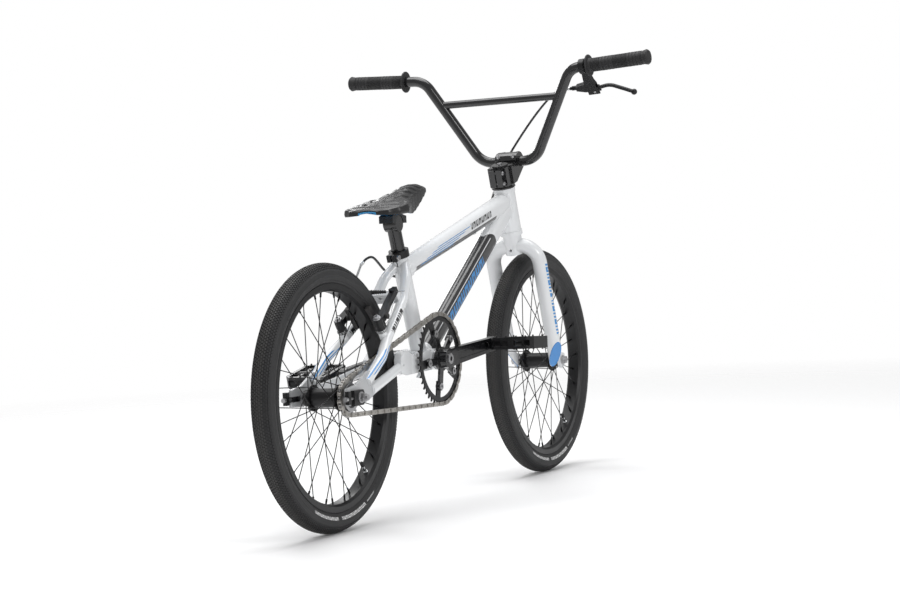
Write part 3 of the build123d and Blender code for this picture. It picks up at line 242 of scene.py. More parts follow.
# %% Group: scuffs
scuffs, inside, outside = new_group(
    "scuffs", [("Edge", "Float", 0.0), ("Amount", "Float", 0.3)], [("Mask", "Float")]
)
coordinates = scuffs.nodes.new("ShaderNodeTexCoord")
patches = scuffs.nodes.new("ShaderNodeTexNoise")
patches.inputs["Scale"].default_value = 140.0
patches.inputs["Detail"].default_value = 6.0
scuffs.links.new(coordinates.outputs["Object"], patches.inputs["Vector"])
rubbed = Field(scuffs, inside.outputs["Edge"]) * Field(scuffs, inside.outputs["Amount"])
worn_through, worn_ramp = 0.98, 0.12
rubbed = (rubbed + Field(scuffs, patches.outputs["Fac"])).above(worn_through, worn_ramp)
scuffs.links.new(rubbed.socket, outside.inputs["Mask"])
print("group", scuffs.name)

# %% [markdown]
# ## Finishes
# A finish is one Principled BSDF. Its base colour drifts a little with the cloud noise,
# its roughness follows the same noise, and its normal comes from the soft edge and the
# grain. Painted marks are passed in as a function that returns the colour socket.


# %% The finish maker
def place_group(tree, group, **values):
    node = tree.nodes.new("ShaderNodeGroup")
    node.node_tree = group
    for name, value in values.items():
        node.inputs[name].default_value = value
    return node


def finish(name, colour, rough, metal=0.0, coat=0.0, grain_size=600.0, grain_depth=0.2,
           edge_radius=0.0004, drift=0.12, worn=None, wear=0.3, marks=None, coat_rough=0.05):
    material = bpy.data.materials.new(name)
    material.use_nodes = True
    tree = material.node_tree
    shader = tree.nodes["Principled BSDF"]
    shader.inputs["Metallic"].default_value = metal
    shader.inputs["Coat Weight"].default_value = coat
    shader.inputs["Coat Roughness"].default_value = coat_rough
    edges = place_group(tree, soft_edge, Radius=edge_radius)
    texture = place_group(tree, grain, Size=grain_size, Depth=grain_depth)
    tree.links.new(edges.outputs["Normal"], texture.inputs["Normal"])
    tree.links.new(texture.outputs["Normal"], shader.inputs["Normal"])
    darker = tuple(c * (1.0 - drift) for c in colour)
    cloudy = Field(tree, texture.outputs["Cloud"]).above(0.5, 0.5)
    shade = mix_colour(tree, cloudy, darker, colour)
    if marks:
        shade = marks(tree, shade)
    if worn:
        rub = place_group(tree, scuffs, Amount=wear)
        tree.links.new(edges.outputs["Edge"], rub.inputs["Edge"])
        shade = mix_colour(tree, Field(tree, rub.outputs["Mask"]), shade, worn)
    tree.links.new(shade, shader.inputs["Base Color"])
    smoothest, uneven = rough * 0.75, rough * 0.5
    gloss = Field(tree, texture.outputs["Cloud"]) * uneven + smoothest
    tree.links.new(gloss.socket, shader.inputs["Roughness"])
    return material


# %% [markdown]
# ## Painted graphics
# The marks on the tubes are plain stripes and slanted bars, printed over the white and
# under the clear coat. Each tube has its own line: u runs along it and v climbs across
# it, in millimetres, so a stripe is a band of v, a bar is a share of each step of u, and
# a rounded end is a distance.

# %% Colours
white_paint = (0.80, 0.815, 0.83)
blue_paint = (0.012, 0.235, 0.60)
black_paint = (0.010, 0.010, 0.012)


def slanted_bars(u, v, low, high, step, share, slant):
    """A row of leaning bars between two places along u."""
    phase = ((u + v * slant) / step).operate("FRACT")
    return phase.between(0.0, share, 0.02) * u.between(low, high, 0.5)


def broken_blocks(u, v, low, high, bottom, top, step):
    """A row of cut blocks: bars with a notch from alternate sides, which reads as a badge."""
    lean, space, foot, sharp = 0.25, 0.2, 0.36, 0.02
    notch_start, notch_end = 0.5, 0.72
    leaning = u - v * lean
    phase = (leaning / step).operate("FRACT")
    other = (leaning / (step * 2)).operate("FRACT").above(0.5, sharp)
    height = top - bottom
    upper = v.between(bottom + height * foot, top, 0.2) * other
    lower = v.between(bottom, top - height * foot, 0.2) * ~other
    notch = upper.either(lower) * phase.between(notch_start, notch_end, sharp)
    return phase.above(space, sharp) * ~notch * v.between(bottom, top, 0.4) * u.between(low, high, 0.5)


# %% Marks on the top and down tubes
def tube_fields(tree, start, end):
    along = (end - start).normalized()
    upward = Vector((-along.z, 0, along.x))
    return place_on(tree, start, along), place_on(tree, start, upward)


def top_tube_marks(tree, shade):
    u, v = tube_fields(tree, top_rear, top_front)
    deepening, stripe_rake = 0.0096, 7.0
    fall = v + u * deepening
    belly = fall.between(-13.0, -4.6).either(fall.between(-17.6, -16.4)) * u.between(34, 428, 6.0)
    shade = mix_colour(tree, belly, shade, black_paint)
    stripes = slanted_bars(v, u, -9.0, 7.0, 4.0, 0.42, 0.0)
    stripes = stripes * (u - v * stripe_rake).between(105, 262, 2.0)
    shade = mix_colour(tree, stripes, shade, blue_paint)
    badge = broken_blocks(u, v, 300, 404, -4.0, 9.0, 14.0)
    return mix_colour(tree, badge, shade, black_paint)


def down_tube_marks(tree, shade):
    u, v = tube_fields(tree, down_rear, down_front)
    panel_end, nose_radius, squash = 392, 24.5, 1.3
    past_end = u - panel_end
    nose = (past_end * past_end + v * v * squash).operate("SQRT")
    panel = (~u.above(panel_end, 0.5)).either(~nose.above(nose_radius, 0.5)) * u.above(30)
    shade = mix_colour(tree, panel, shade, black_paint)
    # A thin white line is painted along the black panel's upper rounded corner, on both sides of the tube.
    corner_white_line = v.between(11.2, 12.8) * u.between(70, 398, 0.5)
    shade = mix_colour(tree, corner_white_line, shade, white_paint)
    badge = broken_blocks(u, v, 120, 338, -12.5, 8.0, 22.0)
    return mix_colour(tree, badge, shade, blue_paint)


# %% Marks on the stays, seat tube and fork
def stay_marks(tree, shade):
    u, v = place_on(tree, rear_axle, stay_out), place_on(tree, rear_axle, stay_off)
    side = place_on(tree, rear_axle, across).operate("ABSOLUTE")
    outer = side.above(20.0, 1.0)
    stripe_rake = 4.0
    stripes = slanted_bars(v, u, -8.0, 7.0, 4.2, 0.42, 0.0)
    stripes = stripes * (u + v * stripe_rake).between(70, 160, 2.0)
    shade = mix_colour(tree, stripes * outer, shade, blue_paint)
    badge = broken_blocks(u, v, 196, 268, -8.0, 7.0, 14.0) * outer
    return mix_colour(tree, badge, shade, black_paint)


def seat_tube_marks(tree, shade):
    u, x = place_on(tree, bracket, seat_up), place_on(tree, bracket, seat_forward)
    side = place_on(tree, bracket, across).operate("ABSOLUTE")
    stripe = x.above(4.0, 0.4) * side.between(-1, 12.0) * u.between(30, 150, 4.0)
    return mix_colour(tree, stripe, shade, black_paint)


def fork_marks(tree, shade):
    u, x = place_on(tree, steer_base, steer_up), place_on(tree, steer_base, steer_forward)
    y = place_on(tree, steer_base, across).operate("ABSOLUTE") - fork_leg_spread
    angle = y.operate("ARCTAN2", x) * (180 / pi)
    badge_faces = 80.0
    v = (angle - badge_faces) * (fork_leg_radius * pi / 180)
    badge = broken_blocks(u, v, 72, 236, -9.0, 9.0, 15.0)
    space = u.between(150, 158, 0.5)
    return mix_colour(tree, badge * ~space, shade, blue_paint)


# %% [markdown]
# ## The bicycle's finishes
# White frame paint is a dielectric under a clear coat. Black parts differ in gloss more
# than in colour: paint is mirror smooth, anodising is satin with bright rubbed edges, and
# rubber is rough. Steel fasteners are plated, so they keep a faint mottled grain.

# %% Make them
bare = (0.55, 0.55, 0.56)
paint_values = dict(colour=white_paint, rough=0.30, coat=0.9, grain_size=260.0, grain_depth=0.05,
                    drift=0.02)
finishes = {
    "frame_white": finish("frame_white", **paint_values),
    "fork_white": finish("fork_white", marks=fork_marks, **paint_values),
    "top_tube_paint": finish("top_tube_paint", marks=top_tube_marks, **paint_values),
    "down_tube_paint": finish("down_tube_paint", marks=down_tube_marks, **paint_values),
    "stay_paint": finish("stay_paint", marks=stay_marks, **paint_values),
    "seat_tube_paint": finish("seat_tube_paint", marks=seat_tube_marks, **paint_values),
    "black_paint": finish("black_paint", (0.006, 0.006, 0.007), 0.20, coat=0.5, grain_size=300.0,
                          grain_depth=0.05, worn=bare, wear=0.22),
    "black_anodised": finish("black_anodised", (0.010, 0.010, 0.011), 0.36, metal=0.3, grain_size=900.0,
                             grain_depth=0.15, worn=bare, wear=0.32),
    "silver_metal": finish("silver_metal", (0.66, 0.67, 0.68), 0.26, metal=1.0, grain_size=1200.0,
                           grain_depth=0.1),
    "zinc_steel": finish("zinc_steel", (0.52, 0.52, 0.53), 0.34, metal=1.0, grain_size=900.0, drift=0.25),
    "chain_steel": finish("chain_steel", (0.50, 0.48, 0.45), 0.30, metal=1.0, grain_size=1500.0,
                          drift=0.35, edge_radius=0.0002),
    "grip_rubber": finish("grip_rubber", (0.016, 0.016, 0.017), 0.62, grain_size=1800.0, grain_depth=0.5),
    "pad_rubber": finish("pad_rubber", (0.030, 0.028, 0.028), 0.6, grain_size=1500.0, grain_depth=0.5),
    "cable_black": finish("cable_black", (0.013, 0.013, 0.014), 0.30, coat=0.25, grain_size=700.0),
    "bellows_rubber": finish("bellows_rubber", (0.018, 0.018, 0.018), 0.55, grain_size=1400.0,
                             grain_depth=0.4),
    "saddle_plastic": finish("saddle_plastic", (0.014, 0.014, 0.015), 0.32, grain_size=1600.0,
                             grain_depth=0.3, worn=(0.10, 0.10, 0.10), wear=0.12),
    "saddle_blue": finish("saddle_blue", (0.05, 0.36, 0.72), 0.4, grain_size=900.0),
    "cap_blue": finish("cap_blue", (0.010, 0.22, 0.60), 0.30, metal=0.2, coat=0.6, grain_size=500.0),
    "spoke_black": finish("spoke_black", (0.014, 0.014, 0.015), 0.30, metal=0.6, edge_radius=0.0001),
    "bearing_steel": finish("bearing_steel", (0.42, 0.42, 0.43), 0.30, metal=1.0, grain_size=900.0,
                            drift=0.2),
    "dropout_grey": finish("dropout_grey", (0.56, 0.57, 0.58), 0.42, metal=0.35, grain_size=700.0,
                           worn=bare),
}
print("finishes", len(finishes))

# %% Paint the CAD nodes
special = {
    "top_tube": "top_tube_paint", "down_tube": "down_tube_paint", "seat_stays": "stay_paint",
    "seat_tube": "seat_tube_paint", "dropouts": "dropout_grey",
    "crank_arm_right": "black_paint", "crank_arm_left": "black_paint",
}
for part in frame["record"]["subparts"]:
    wanted = finishes.get(special.get(part["node"], part["material_slot"]))
    if wanted:
        mesh = nodes[part["node"]].data
        mesh.materials.clear()
        mesh.materials.append(wanted)
print("painted", len(nodes), "nodes")

# %% [markdown]
# ## Making meshes
# Most of the pieces below are swept or spun sections. These helpers turn a grid of rings
# into a closed mesh, shade it smooth and hang it on its body.


# %% Mesh helpers
def add_piece(name, vertices, faces, body, material, replaces=(), at=(0, 0, 0)):
    """Points in millimetres become a smooth shaded object that rides on a body."""
    mesh = bpy.data.meshes.new(name)
    mesh.from_pydata([Vector(v) * MM for v in vertices], [], faces)
    mesh.validate()
    mesh.shade_smooth()
    piece = bpy.data.objects.new(name, mesh)
    bpy.context.scene.collection.objects.link(piece)
    piece.location = Vector(at) * MM
    mesh.materials.append(finishes[material])
    if body:
        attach(piece, body)
    if replaces:
        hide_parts(*replaces)
    return piece


def skin(rings, closed=False, caps=True):
    """Faces between rings of equal length; closed joins the last ring to the first."""
    size = len(rings[0])
    vertices = [point for ring in rings for point in ring]
    faces = []
    count = len(rings)
    for i in range(count if closed else count - 1):
        for j in range(size):
            a, b = i * size + j, i * size + (j + 1) % size
            c, d = ((i + 1) % count) * size + (j + 1) % size, ((i + 1) % count) * size + j
            faces.append((a, b, c, d))
    if caps and not closed:
        faces.append(tuple(range(size - 1, -1, -1)))
        faces.append(tuple((count - 1) * size + j for j in range(size)))
    return vertices, faces


def side_axes(direction):
    direction = Vector(direction).normalized()
    first = direction.cross(upwards if abs(direction.z) < 0.9 else ahead).normalized()
    return first, direction.cross(first)


def turned(start, direction, profile, sides=48):
    """Rings of a turned piece: (distance along the direction, radius) pairs."""
    direction = Vector(direction).normalized()
    first, second = side_axes(direction)
    rings = []
    for distance, radius in profile:
        centre = Vector(start) + direction * distance
        rings.append([centre + (first * cos(a) + second * sin(a)) * radius
                      for a in (2 * pi * k / sides for k in range(sides))])
    return rings


def crease(piece, angle=40):
    """Keeps sharp corners sharp while the rest stays smooth."""
    mesh = piece.data
    shape = bmesh.new()
    shape.from_mesh(mesh)
    bmesh.ops.recalc_face_normals(shape, faces=shape.faces)
    for line in shape.edges:
        if len(line.link_faces) == 2 and line.calc_face_angle() > radians(angle):
            line.smooth = False
    shape.to_mesh(mesh)
    shape.free()
    return piece


# %% [markdown]
# ## Tyres
# A race tyre is a smooth rubber casing with hundreds of low square blocks moulded across
# the crown. A displaced texture would look soft from the side, so every block is a small
# closed frustum set into the casing, in staggered rows that lean with the section.

# %% The tyre's finish
def tyre_marks(tree, shade):
    """Two rows of pale blocks low on the wall, with a finer row behind, and dust on the blocks."""
    x, z = place_on(tree, (0, 0, 0), ahead), place_on(tree, (0, 0, 0), upwards)
    radius = (x * x + z * z).operate("SQRT")
    first_degree, arc, wall_mm = 118.0, 62, 4.0
    turn = z.operate("ARCTAN2", x) * (180 / pi) + first_degree
    along = turn * wall_mm
    word = broken_blocks(along, radius, 0, arc * wall_mm, 217.3, 223.2, 9.0) * ~turn.above(50.5, 0.2)
    gap = turn.between(22.5, 26.0, 0.1).either(turn.between(50.0, 52.0, 0.1))
    fine_row = slanted_bars(along, radius, 206, 240, 2.6, 0.5, 0.0) * radius.between(219, 221.5)
    printed = word.either(fine_row) * turn.between(0, arc, 0.2) * ~gap
    dust = radius.above(wheel_radius - 2.4, 1.2) * 0.35
    shade = mix_colour(tree, dust, shade, dust_colour)
    return mix_colour(tree, printed, shade, wall_print)


dust_colour, wall_print = (0.085, 0.082, 0.078), (0.62, 0.62, 0.62)
finishes["tyre_rubber"] = finish("tyre_rubber", (0.022, 0.022, 0.023), 0.62, grain_size=900.0,
                                 grain_depth=0.45, marks=tyre_marks, edge_radius=0.0002, drift=0.25)


# %% Casing and blocks
section_circle = wheel_radius - 22.0
bead_degree, shoulder_degree, rib_degrees = 156, 62, (72, 96, 120)
crown_depth, wall_depth, rib_depth, bead_depth, inner_depth = 20.4, 21.2, 21.75, 21.9, 18.2
blocks_around, block_rows, row_angle = 250, 11, 11.2
box_faces = ((0, 1, 2, 3), (7, 6, 5, 4), (0, 4, 5, 1), (1, 5, 6, 2), (2, 6, 7, 3), (3, 7, 4, 0))


def tyre_point(turn, depth, degree):
    """A point of the tyre: round the wheel by turn, round its section by degree."""
    reach = section_circle + depth * cos(radians(degree))
    return Vector((reach * cos(turn), depth * sin(radians(degree)), reach * sin(turn)))


def casing_depth(degree):
    """The casing is thin under the blocks, with moulded ribs on the wall and a thick bead."""
    if degree > rib_degrees[-1] + 4:
        return bead_depth
    if degree in rib_degrees:
        return rib_depth
    return crown_depth if degree < shoulder_degree else wall_depth


def casing(steps=240):
    outline = [(casing_depth(abs(d)), d) for d in range(-bead_degree, bead_degree + 1, 4)]
    outline += [(inner_depth, d) for d in range(bead_degree, -bead_degree - 1, -12)]
    rings = []
    for k in range(steps):
        turn = 2 * pi * k / steps
        rings.append([tyre_point(turn, depth, degree) for depth, degree in outline])
    return skin(rings, closed=True)


def tread_block(turn, degree, share, wide):
    """Eight corners of a low block whose top is smaller than its foot."""
    corners = []
    for depth, shrink in ((20.0, 1.08), (21.95, 0.90)):
        for du, dv in ((-1, -1), (1, -1), (1, 1), (-1, 1)):
            corner_turn = turn + du * share * shrink * 2 * pi / blocks_around
            corners.append(tyre_point(corner_turn, depth, degree + dv * wide / 2 * shrink))
    return corners


def tyre_mesh():
    vertices, faces = casing()
    for row in range(block_rows):
        degree = (row - (block_rows - 1) / 2) * row_angle
        edge_row = row in (0, block_rows - 1)
        share, wide = (0.40, 8.6) if edge_row else (0.34, 7.6)
        for k in range(blocks_around):
            base = len(vertices)
            vertices += tread_block(2 * pi * (k + 0.5 * (row % 2)) / blocks_around, degree, share, wide)
            faces += [tuple(base + i for i in face) for face in box_faces]
    return vertices, faces


tyre_vertices, tyre_faces = tyre_mesh()
for name, axle, body in (("front", front_axle, "front_wheel"), ("rear", rear_axle, "rear_wheel")):
    piece = add_piece(name + "_tyre_treaded", tyre_vertices, tyre_faces, body,
                      "tyre_rubber", [name + "_tyre"], at=axle)
    crease(piece, 35)
    print(piece.name, len(piece.data.polygons), "faces")

# %% [markdown]
# ## Valves
# The inner tube's valve comes through the rim between two spokes: a plated stem with a
# fine thread, a nut against the rim and a ridged black cap. Each is spun from a profile
# of distances towards the hub and radii, so every thread is a real groove.

# %% Valves
valve_turn, thread_turns, cap_ridges = radians(-50), 14, 8
valve_nut = [(-1, 5.0), (1.4, 5.0), (1.6, 3.0)]
valve_thread = [(k + half, 2.55 if half else 2.9) for k in range(1, thread_turns + 1) for half in (0.0, 0.5)]
valve_cap = [(14.5, 3.9)] + [(15.5 + k, 4.0 if k % 2 else 3.7) for k in range(cap_ridges)]
valve_cap += [(24, 3.2), (24.6, 1.8)]
inwards = Vector((-cos(valve_turn), 0, -sin(valve_turn)))
for name, axle, body in (("front", front_axle, "front_wheel"), ("rear", rear_axle, "rear_wheel")):
    start = axle - inwards * (rim_inner_radius + 1.0)
    stem = valve_nut + valve_thread[1:] + [(16, 2.6)]
    vertices, faces = skin(turned(start, inwards, stem, 24))
    add_piece(name + "_valve_stem", vertices, faces, body, "silver_metal")
    vertices, faces = skin(turned(start, inwards, valve_cap, 24))
    add_piece(name + "_valve_cap", vertices, faces, body, "grip_rubber")
print("valves made")

# %% [markdown]
# ## Grips
# Soft rubber grips have a flange against the bar end's thumb side, thin rings that flex
# under the palm and a thick end. Spinning a ribbed profile gives every ring a real edge.

# %% Grips
bar_rise, bar_lean, bend_spread, bend_rise = 202.0, 6.0, 174.0, 193.0
bar_up = (steer_up * bar_rise + steer_forward * bar_lean) / bar_rise
bar_middle = steer_point(50.0, 0, 454.0)
grip_length, ribs_end, zone_length = 136.0, 124.0, 30
grip_flange = [(0.0, bar_radius + 0.2), (0.0, 22.0), (0.8, 23.2), (2.6, 23.4), (4.0, 22.4), (4.6, 16.0)]
grip_end = [(128.0, 14.6), (133.0, 15.6), (135.4, 16.2), (136.6, 15.6), (139.2, 13.6), (139.4, 4.0)]


def on_bar(left, side):
    """A point on the bar end's centre line, that far from the middle."""
    rise = bend_rise + (left - bend_spread) * (bar_rise - bend_rise) / (bar_half_width - bend_spread)
    return bar_middle + bar_up * rise + across * left * side


def rib(start, top, ramp, flat):
    """One raised ring: up, along and down again."""
    foot = top - 1.0
    return [(start, foot), (start + ramp, top), (start + ramp + flat, top), (start + 2 * ramp + flat, foot)]


def grip_profile():
    """Zones of thin rings and of broad rings take turns along the palm."""
    profile = grip_flange + [(9.0, 14.6)]
    place = 10.0
    while place < ribs_end:
        thin = int(place / zone_length) % 2 == 0
        profile += rib(place, 14.7, 0.5, 1.0) if thin else rib(place, 14.9, 0.8, 4.4)
        place += 2.9 if thin else 7.5
    return profile + grip_end


for side, label in ((1, "left"), (-1, "right")):
    start, end = on_bar(bar_half_width - grip_length, side), on_bar(bar_half_width, side)
    vertices, faces = skin(turned(start, end - start, grip_profile(), 72))
    piece = add_piece("grip_" + label, vertices, faces, "front_end", "grip_rubber", ["grips"])
    crease(piece, 50)
print("grips made")

# %% [markdown]
# ## Cables
# A brake housing is springy, so it takes one smooth curve from the lever to its stop. A
# NURBS curve through the route's points gives that. The front housing crosses the
# steering joint, so it is turned into a mesh and blended between frame and front end.


# %% Cables
def cable(name, points, radius, material, body=None):
    """A round cable along a smooth curve through its route, as a mesh with closed ends."""
    curve = bpy.data.curves.new(name, "CURVE")
    curve.dimensions = "3D"
    spline = curve.splines.new("NURBS")
    spline.points.add(len(points) - 1)
    for target, point in zip(spline.points, points):
        target.co = (*(Vector(point) * MM), 1.0)
    spline.order_u = 3
    spline.use_endpoint_u = True
    curve.resolution_u = 12
    curve.bevel_depth = radius * MM
    curve.bevel_resolution = 5
    curve.use_fill_caps = True
    drawn = bpy.data.objects.new(name + "_line", curve)
    bpy.context.scene.collection.objects.link(drawn)
    bpy.context.view_layer.update()
    mesh = bpy.data.meshes.new_from_object(drawn.evaluated_get(bpy.context.evaluated_depsgraph_get()))
    bpy.data.objects.remove(drawn)
    mesh.name = name
    piece = bpy.data.objects.new(name, mesh)
    bpy.context.scene.collection.objects.link(piece)
    mesh.shade_smooth()
    mesh.materials.clear()
    mesh.materials.append(finishes[material])
    if body:
        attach(piece, body)
    return piece


cable_out, cable_off = 281.0, 37.0
noodle_top = Vector((-262.0, 34.0, 487.0))
lever_end = Vector((357.0, -158.4, 836.3))
front_route = [
    lever_end, (357.6, -148, 836.2), (366, -130, 837), (382, -106, 829), (397, -76, 810),
    (408, -42, 780), (414, -8, 743), (411, 22, 702), (395, 40, 658), (367, 43, 617),
    (333, 38, 585), (295, 33, 563), (256, 27, 552), (226, 19, 544), (211, 15.5, 541),
]
housing = cable("front_cable_housing", front_route, housing_radius, "cable_black")
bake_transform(housing)
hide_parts("brake_housing_front")
rear_route = [
    (-103, 15, 460), (-124, 24, 457), (-150, 31, 461), (-177, 33, 476), (-202, 31, 491),
    (-226, 28, 501), (-246, 29, 499), (-258, 33, 491), noodle_top,
]
housing = cable("rear_cable_housing", rear_route, housing_radius, "cable_black", "frame")
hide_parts("brake_housing_rear")
print("cable housings", len(front_route), "and", len(rear_route), "route points")

# %% Crimped sleeves where the housings end
sleeve_profile = [(-1.0, 2.6), (-1.0, 3.1), (2.0, 3.3), (2.3, 2.95), (3.0, 2.95), (3.3, 3.3)]
sleeve_profile += [(8.0, 3.1), (8.4, 2.6)]
for name, point, direction, body in (
    ("lever", lever_end, Vector((0, 1, -0.01)), "front_end"),
    ("noodle", noodle_top, Vector((0.75, -0.2, 0.55)), "brake_left"),
):
    vertices, faces = skin(turned(point, direction, sleeve_profile, 28))
    add_piece(name + "_cable_sleeve", vertices, faces, body, "silver_metal")
print("sleeves made")

# %% [markdown]
# ## The brake's bellows
# The bare wire between the two brake arms is covered by a soft rubber sleeve with deep
# folds, so that it can shorten as the arms close. One spun profile with rounded folds,
# smaller towards the right arm, gives the soft corrugated look.

# %% Bellows
bellows_folds, fold_pitch, fold_depth, fold_steps = 7, 4.8, 1.3, 8


def bellows_profile():
    profile = [(-22.0, 1.2), (-22.0, 3.9), (-18.5, 4.4)]
    for fold in range(bellows_folds):
        start, size = -17.5 + fold * fold_pitch, 4.8 - 0.22 * fold
        for step in range(fold_steps):
            swell = 0.5 - 0.5 * cos(2 * pi * step / fold_steps)
            profile.append((start + fold_pitch * step / fold_steps, size - fold_depth * (1 - swell)))
    return profile + [(16.0, 2.3), (16.0, 1.2)]


bellows_rings = turned(stay_point(cable_out, 0, cable_off), (0, -1, 0), bellows_profile(), 36)
vertices, faces = skin(bellows_rings)
add_piece("cable_bellows", vertices, faces, "frame", "bellows_rubber",
          ["brake_cable_boot"])
print("bellows folds", bellows_folds)

# %% [markdown]
# ## Return springs
# Each brake arm is pushed off the rim by a thin steel spring: a coil hidden at the stud
# and a straight leg that lies up the back of the arm. The leg is what shows.

# %% Springs
spring_radius, coil_start, coil_turns, steps_per_turn, coil_climb = 9.6, 18.0, 2, 16, 0.16
spring_leg = [(195, 53.5, 27), (220, 49.8, 30), (248, 43.6, 32.5), (256, 42.4, 33)]
for side, label in ((1, "left"), (-1, "right")):
    route = []
    for k in range(coil_turns * steps_per_turn + 1):
        a = 2 * pi * k / steps_per_turn
        out, left = brake_pivot_out + spring_radius * cos(a), brake_pivot_spread + spring_radius * sin(a)
        route.append(stay_point(out, side * left, coil_start + k * coil_climb))
    route += [stay_point(out, side * left, off) for out, left, off in spring_leg]
    cable("brake_spring_" + label, route, spring_wire_radius, "silver_metal",
          "brake_" + label)
print("springs made")

# %% [markdown]
# ## Saddle
# A race saddle is one moulded shell: a wide low tail, a narrow nose that dips at its tip,
# and skirts that wrap down beside the post. A grid of cross-sections gives that form, and
# a raised pattern of ribs is pressed into the grid itself so it catches real highlights.


# %% The saddle's shell
def smooth_table(table, x):
    """A value between the rows of a table, along a smooth step."""
    for (x0, *low), (x1, *high) in zip(table, table[1:]):
        if x0 <= x <= x1:
            t = (x - x0) / (x1 - x0)
            t = t * t * (3 - 2 * t) * 0.5 + t * 0.5
            return [a + (b - a) * t for a, b in zip(low, high)]
    return list(table[-1][1:])


# x, half width, crown height, rim height, crown's roundness
saddle_table = [
    (-291.0, 20.0, 589.0, 580.0, 0.55),
    (-284.0, 44.0, 593.0, 579.0, 0.5),
    (-268.0, 62.0, 599.5, 579.0, 0.45),
    (-240.0, 65.0, 606.0, 581.0, 0.42),
    (-205.0, 51.0, 615.0, 585.0, 0.5),
    (-178.0, 36.0, 623.0, 581.0, 0.6),
    (-158.0, 30.0, 629.0, 581.0, 0.62),
    (-140.0, 27.0, 634.5, 586.0, 0.65),
    (-124.0, 25.0, 638.0, 594.0, 0.68),
    (-108.0, 23.5, 640.0, 603.0, 0.7),
    (-90.0, 21.5, 640.5, 614.0, 0.75),
    (-72.0, 17.5, 637.5, 623.0, 0.8),
    (-60.0, 9.5, 631.0, 626.0, 0.9),
]
saddle_tail, saddle_nose = -291.0, -58.0
shell_wall, liner_wall, groove_depth = 2.4, 1.2, 2.6
skirt_start, full_width = 0.78, 0.97
strip_edge, pattern_edge, pattern_tail, pattern_nose = 0.10, 0.74, 0.05, 0.93


def limited(value):
    return max(0.0, min(1.0, value))


def pattern_height(x, s):
    """Raised ribs that sweep back from the nose, and a plain strip along the middle."""
    along, side = (x - saddle_tail) / (saddle_nose - saddle_tail), abs(s)
    sweep = sin(2 * pi * (along * 7.0 - side * 1.9 + 0.4 * sin(along * 9.0)))
    cross = sin(2 * pi * (along * 3.0 + side * 1.5))
    rib_top = limited((sweep + 0.3 * cross) * 2.6 + 1.0)
    band = limited((side - strip_edge) * 14) * limited((pattern_edge - side) * 10)
    ends = limited((along - pattern_tail) * 14) * limited((pattern_nose - along) * 12)
    return -groove_depth * (1.0 - rib_top) * band * ends


def saddle_section(s, half, crown, rim, round_off):
    """Distance from the middle and height, for s from 0 on the crown to 1 at the skirt's rim."""
    shoulder_fall = (crown - rim) * (0.16 + 0.34 * round_off)
    if s < skirt_start:
        return half * s / skirt_start * full_width, crown - shoulder_fall * (s / skirt_start) ** 2.4
    down = (s - skirt_start) / (1 - skirt_start)
    shoulder = crown - shoulder_fall
    swell = full_width + (1 - full_width) * sin(down * pi)
    return half * swell, shoulder + (rim - shoulder) * (1 - (1 - down) ** 1.3)


def saddle_grid(inset, long_steps=190, wide_steps=96):
    rings = []
    for i in range(long_steps + 1):
        x = saddle_tail + (saddle_nose - saddle_tail) * i / long_steps
        half, crown, rim, round_off = smooth_table(saddle_table, x)
        ring = []
        for j in range(wide_steps + 1):
            s = 2.0 * j / wide_steps - 1.0
            y, z = saddle_section(abs(s), half - inset, crown - inset, rim, round_off)
            z += 0.0 if inset else pattern_height(x, s)
            ring.append(Vector((x, y if s >= 0 else -y, z)))
        rings.append(ring)
    return rings


def sheet_faces(rings):
    size = len(rings[0])
    vertices = [point for ring in rings for point in ring]
    faces = []
    for i in range(len(rings) - 1):
        for j in range(size - 1):
            faces.append((i * size + j, (i + 1) * size + j, (i + 1) * size + j + 1, i * size + j + 1))
    return vertices, faces


def thicken(piece, thickness):
    """Gives a sheet its wall, and applies it."""
    wall = piece.modifiers.new("wall", "SOLIDIFY")
    wall.thickness = thickness * MM
    wall.offset = -1.0
    bpy.context.view_layer.update()
    solid = bpy.data.meshes.new_from_object(piece.evaluated_get(bpy.context.evaluated_depsgraph_get()))
    piece.modifiers.clear()
    piece.data = solid
    return piece


vertices, faces = sheet_faces(saddle_grid(0.0))
saddle = add_piece("saddle_shell", vertices, faces, "saddle", "saddle_plastic",
                   ["saddle_pad"])
thicken(saddle, shell_wall)
vertices, faces = sheet_faces(saddle_grid(shell_wall + 0.5, 80, 40))
liner = add_piece("saddle_liner", vertices, faces, "saddle", "saddle_blue")
thicken(liner, liner_wall)
print("saddle", len(saddle.data.polygons), "faces")

# %% [markdown]
# ## Welds
# An aluminium frame is joined by hand: every joint keeps a bead of small overlapping
# ripples under the paint. The bead follows the line where one tube runs into another, so
# the script finds that line by stepping each point of the tube's section along its axis
# until it meets the other tube, then threads a rippled ring of circles along it.


# %% Weld beads
def oval_section(depth, width, count):
    """Points round a flat-sided oval: two half circles and two straight sides."""
    radius, straight = width / 2, (depth - width) / 2
    points = []
    for k in range(count):
        a = 2 * pi * k / count
        v, y = radius * cos(a), radius * sin(a)
        points.append((v + (straight if cos(a) > 0 else -straight) * min(1.0, abs(cos(a)) * 6), y))
    return points


def distance_to_axis(point, origin, direction):
    offset = point - origin
    return (offset - direction * offset.dot(direction)).length


farthest_meeting, halvings = 130.0, 24


def meeting_line(start, axis, section, upward, goal_origin, goal_direction, goal_radius):
    """Where each line of a tube's section reaches the other tube's surface."""
    line = []
    for v, y in section:
        base = start + upward * v + across * y
        low, high = 0.0, farthest_meeting
        for _ in range(halvings):
            middle = (low + high) / 2
            if distance_to_axis(base + axis * middle, goal_origin, goal_direction) > goal_radius:
                low = middle
            else:
                high = middle
        line.append(base + axis * low)
    return line


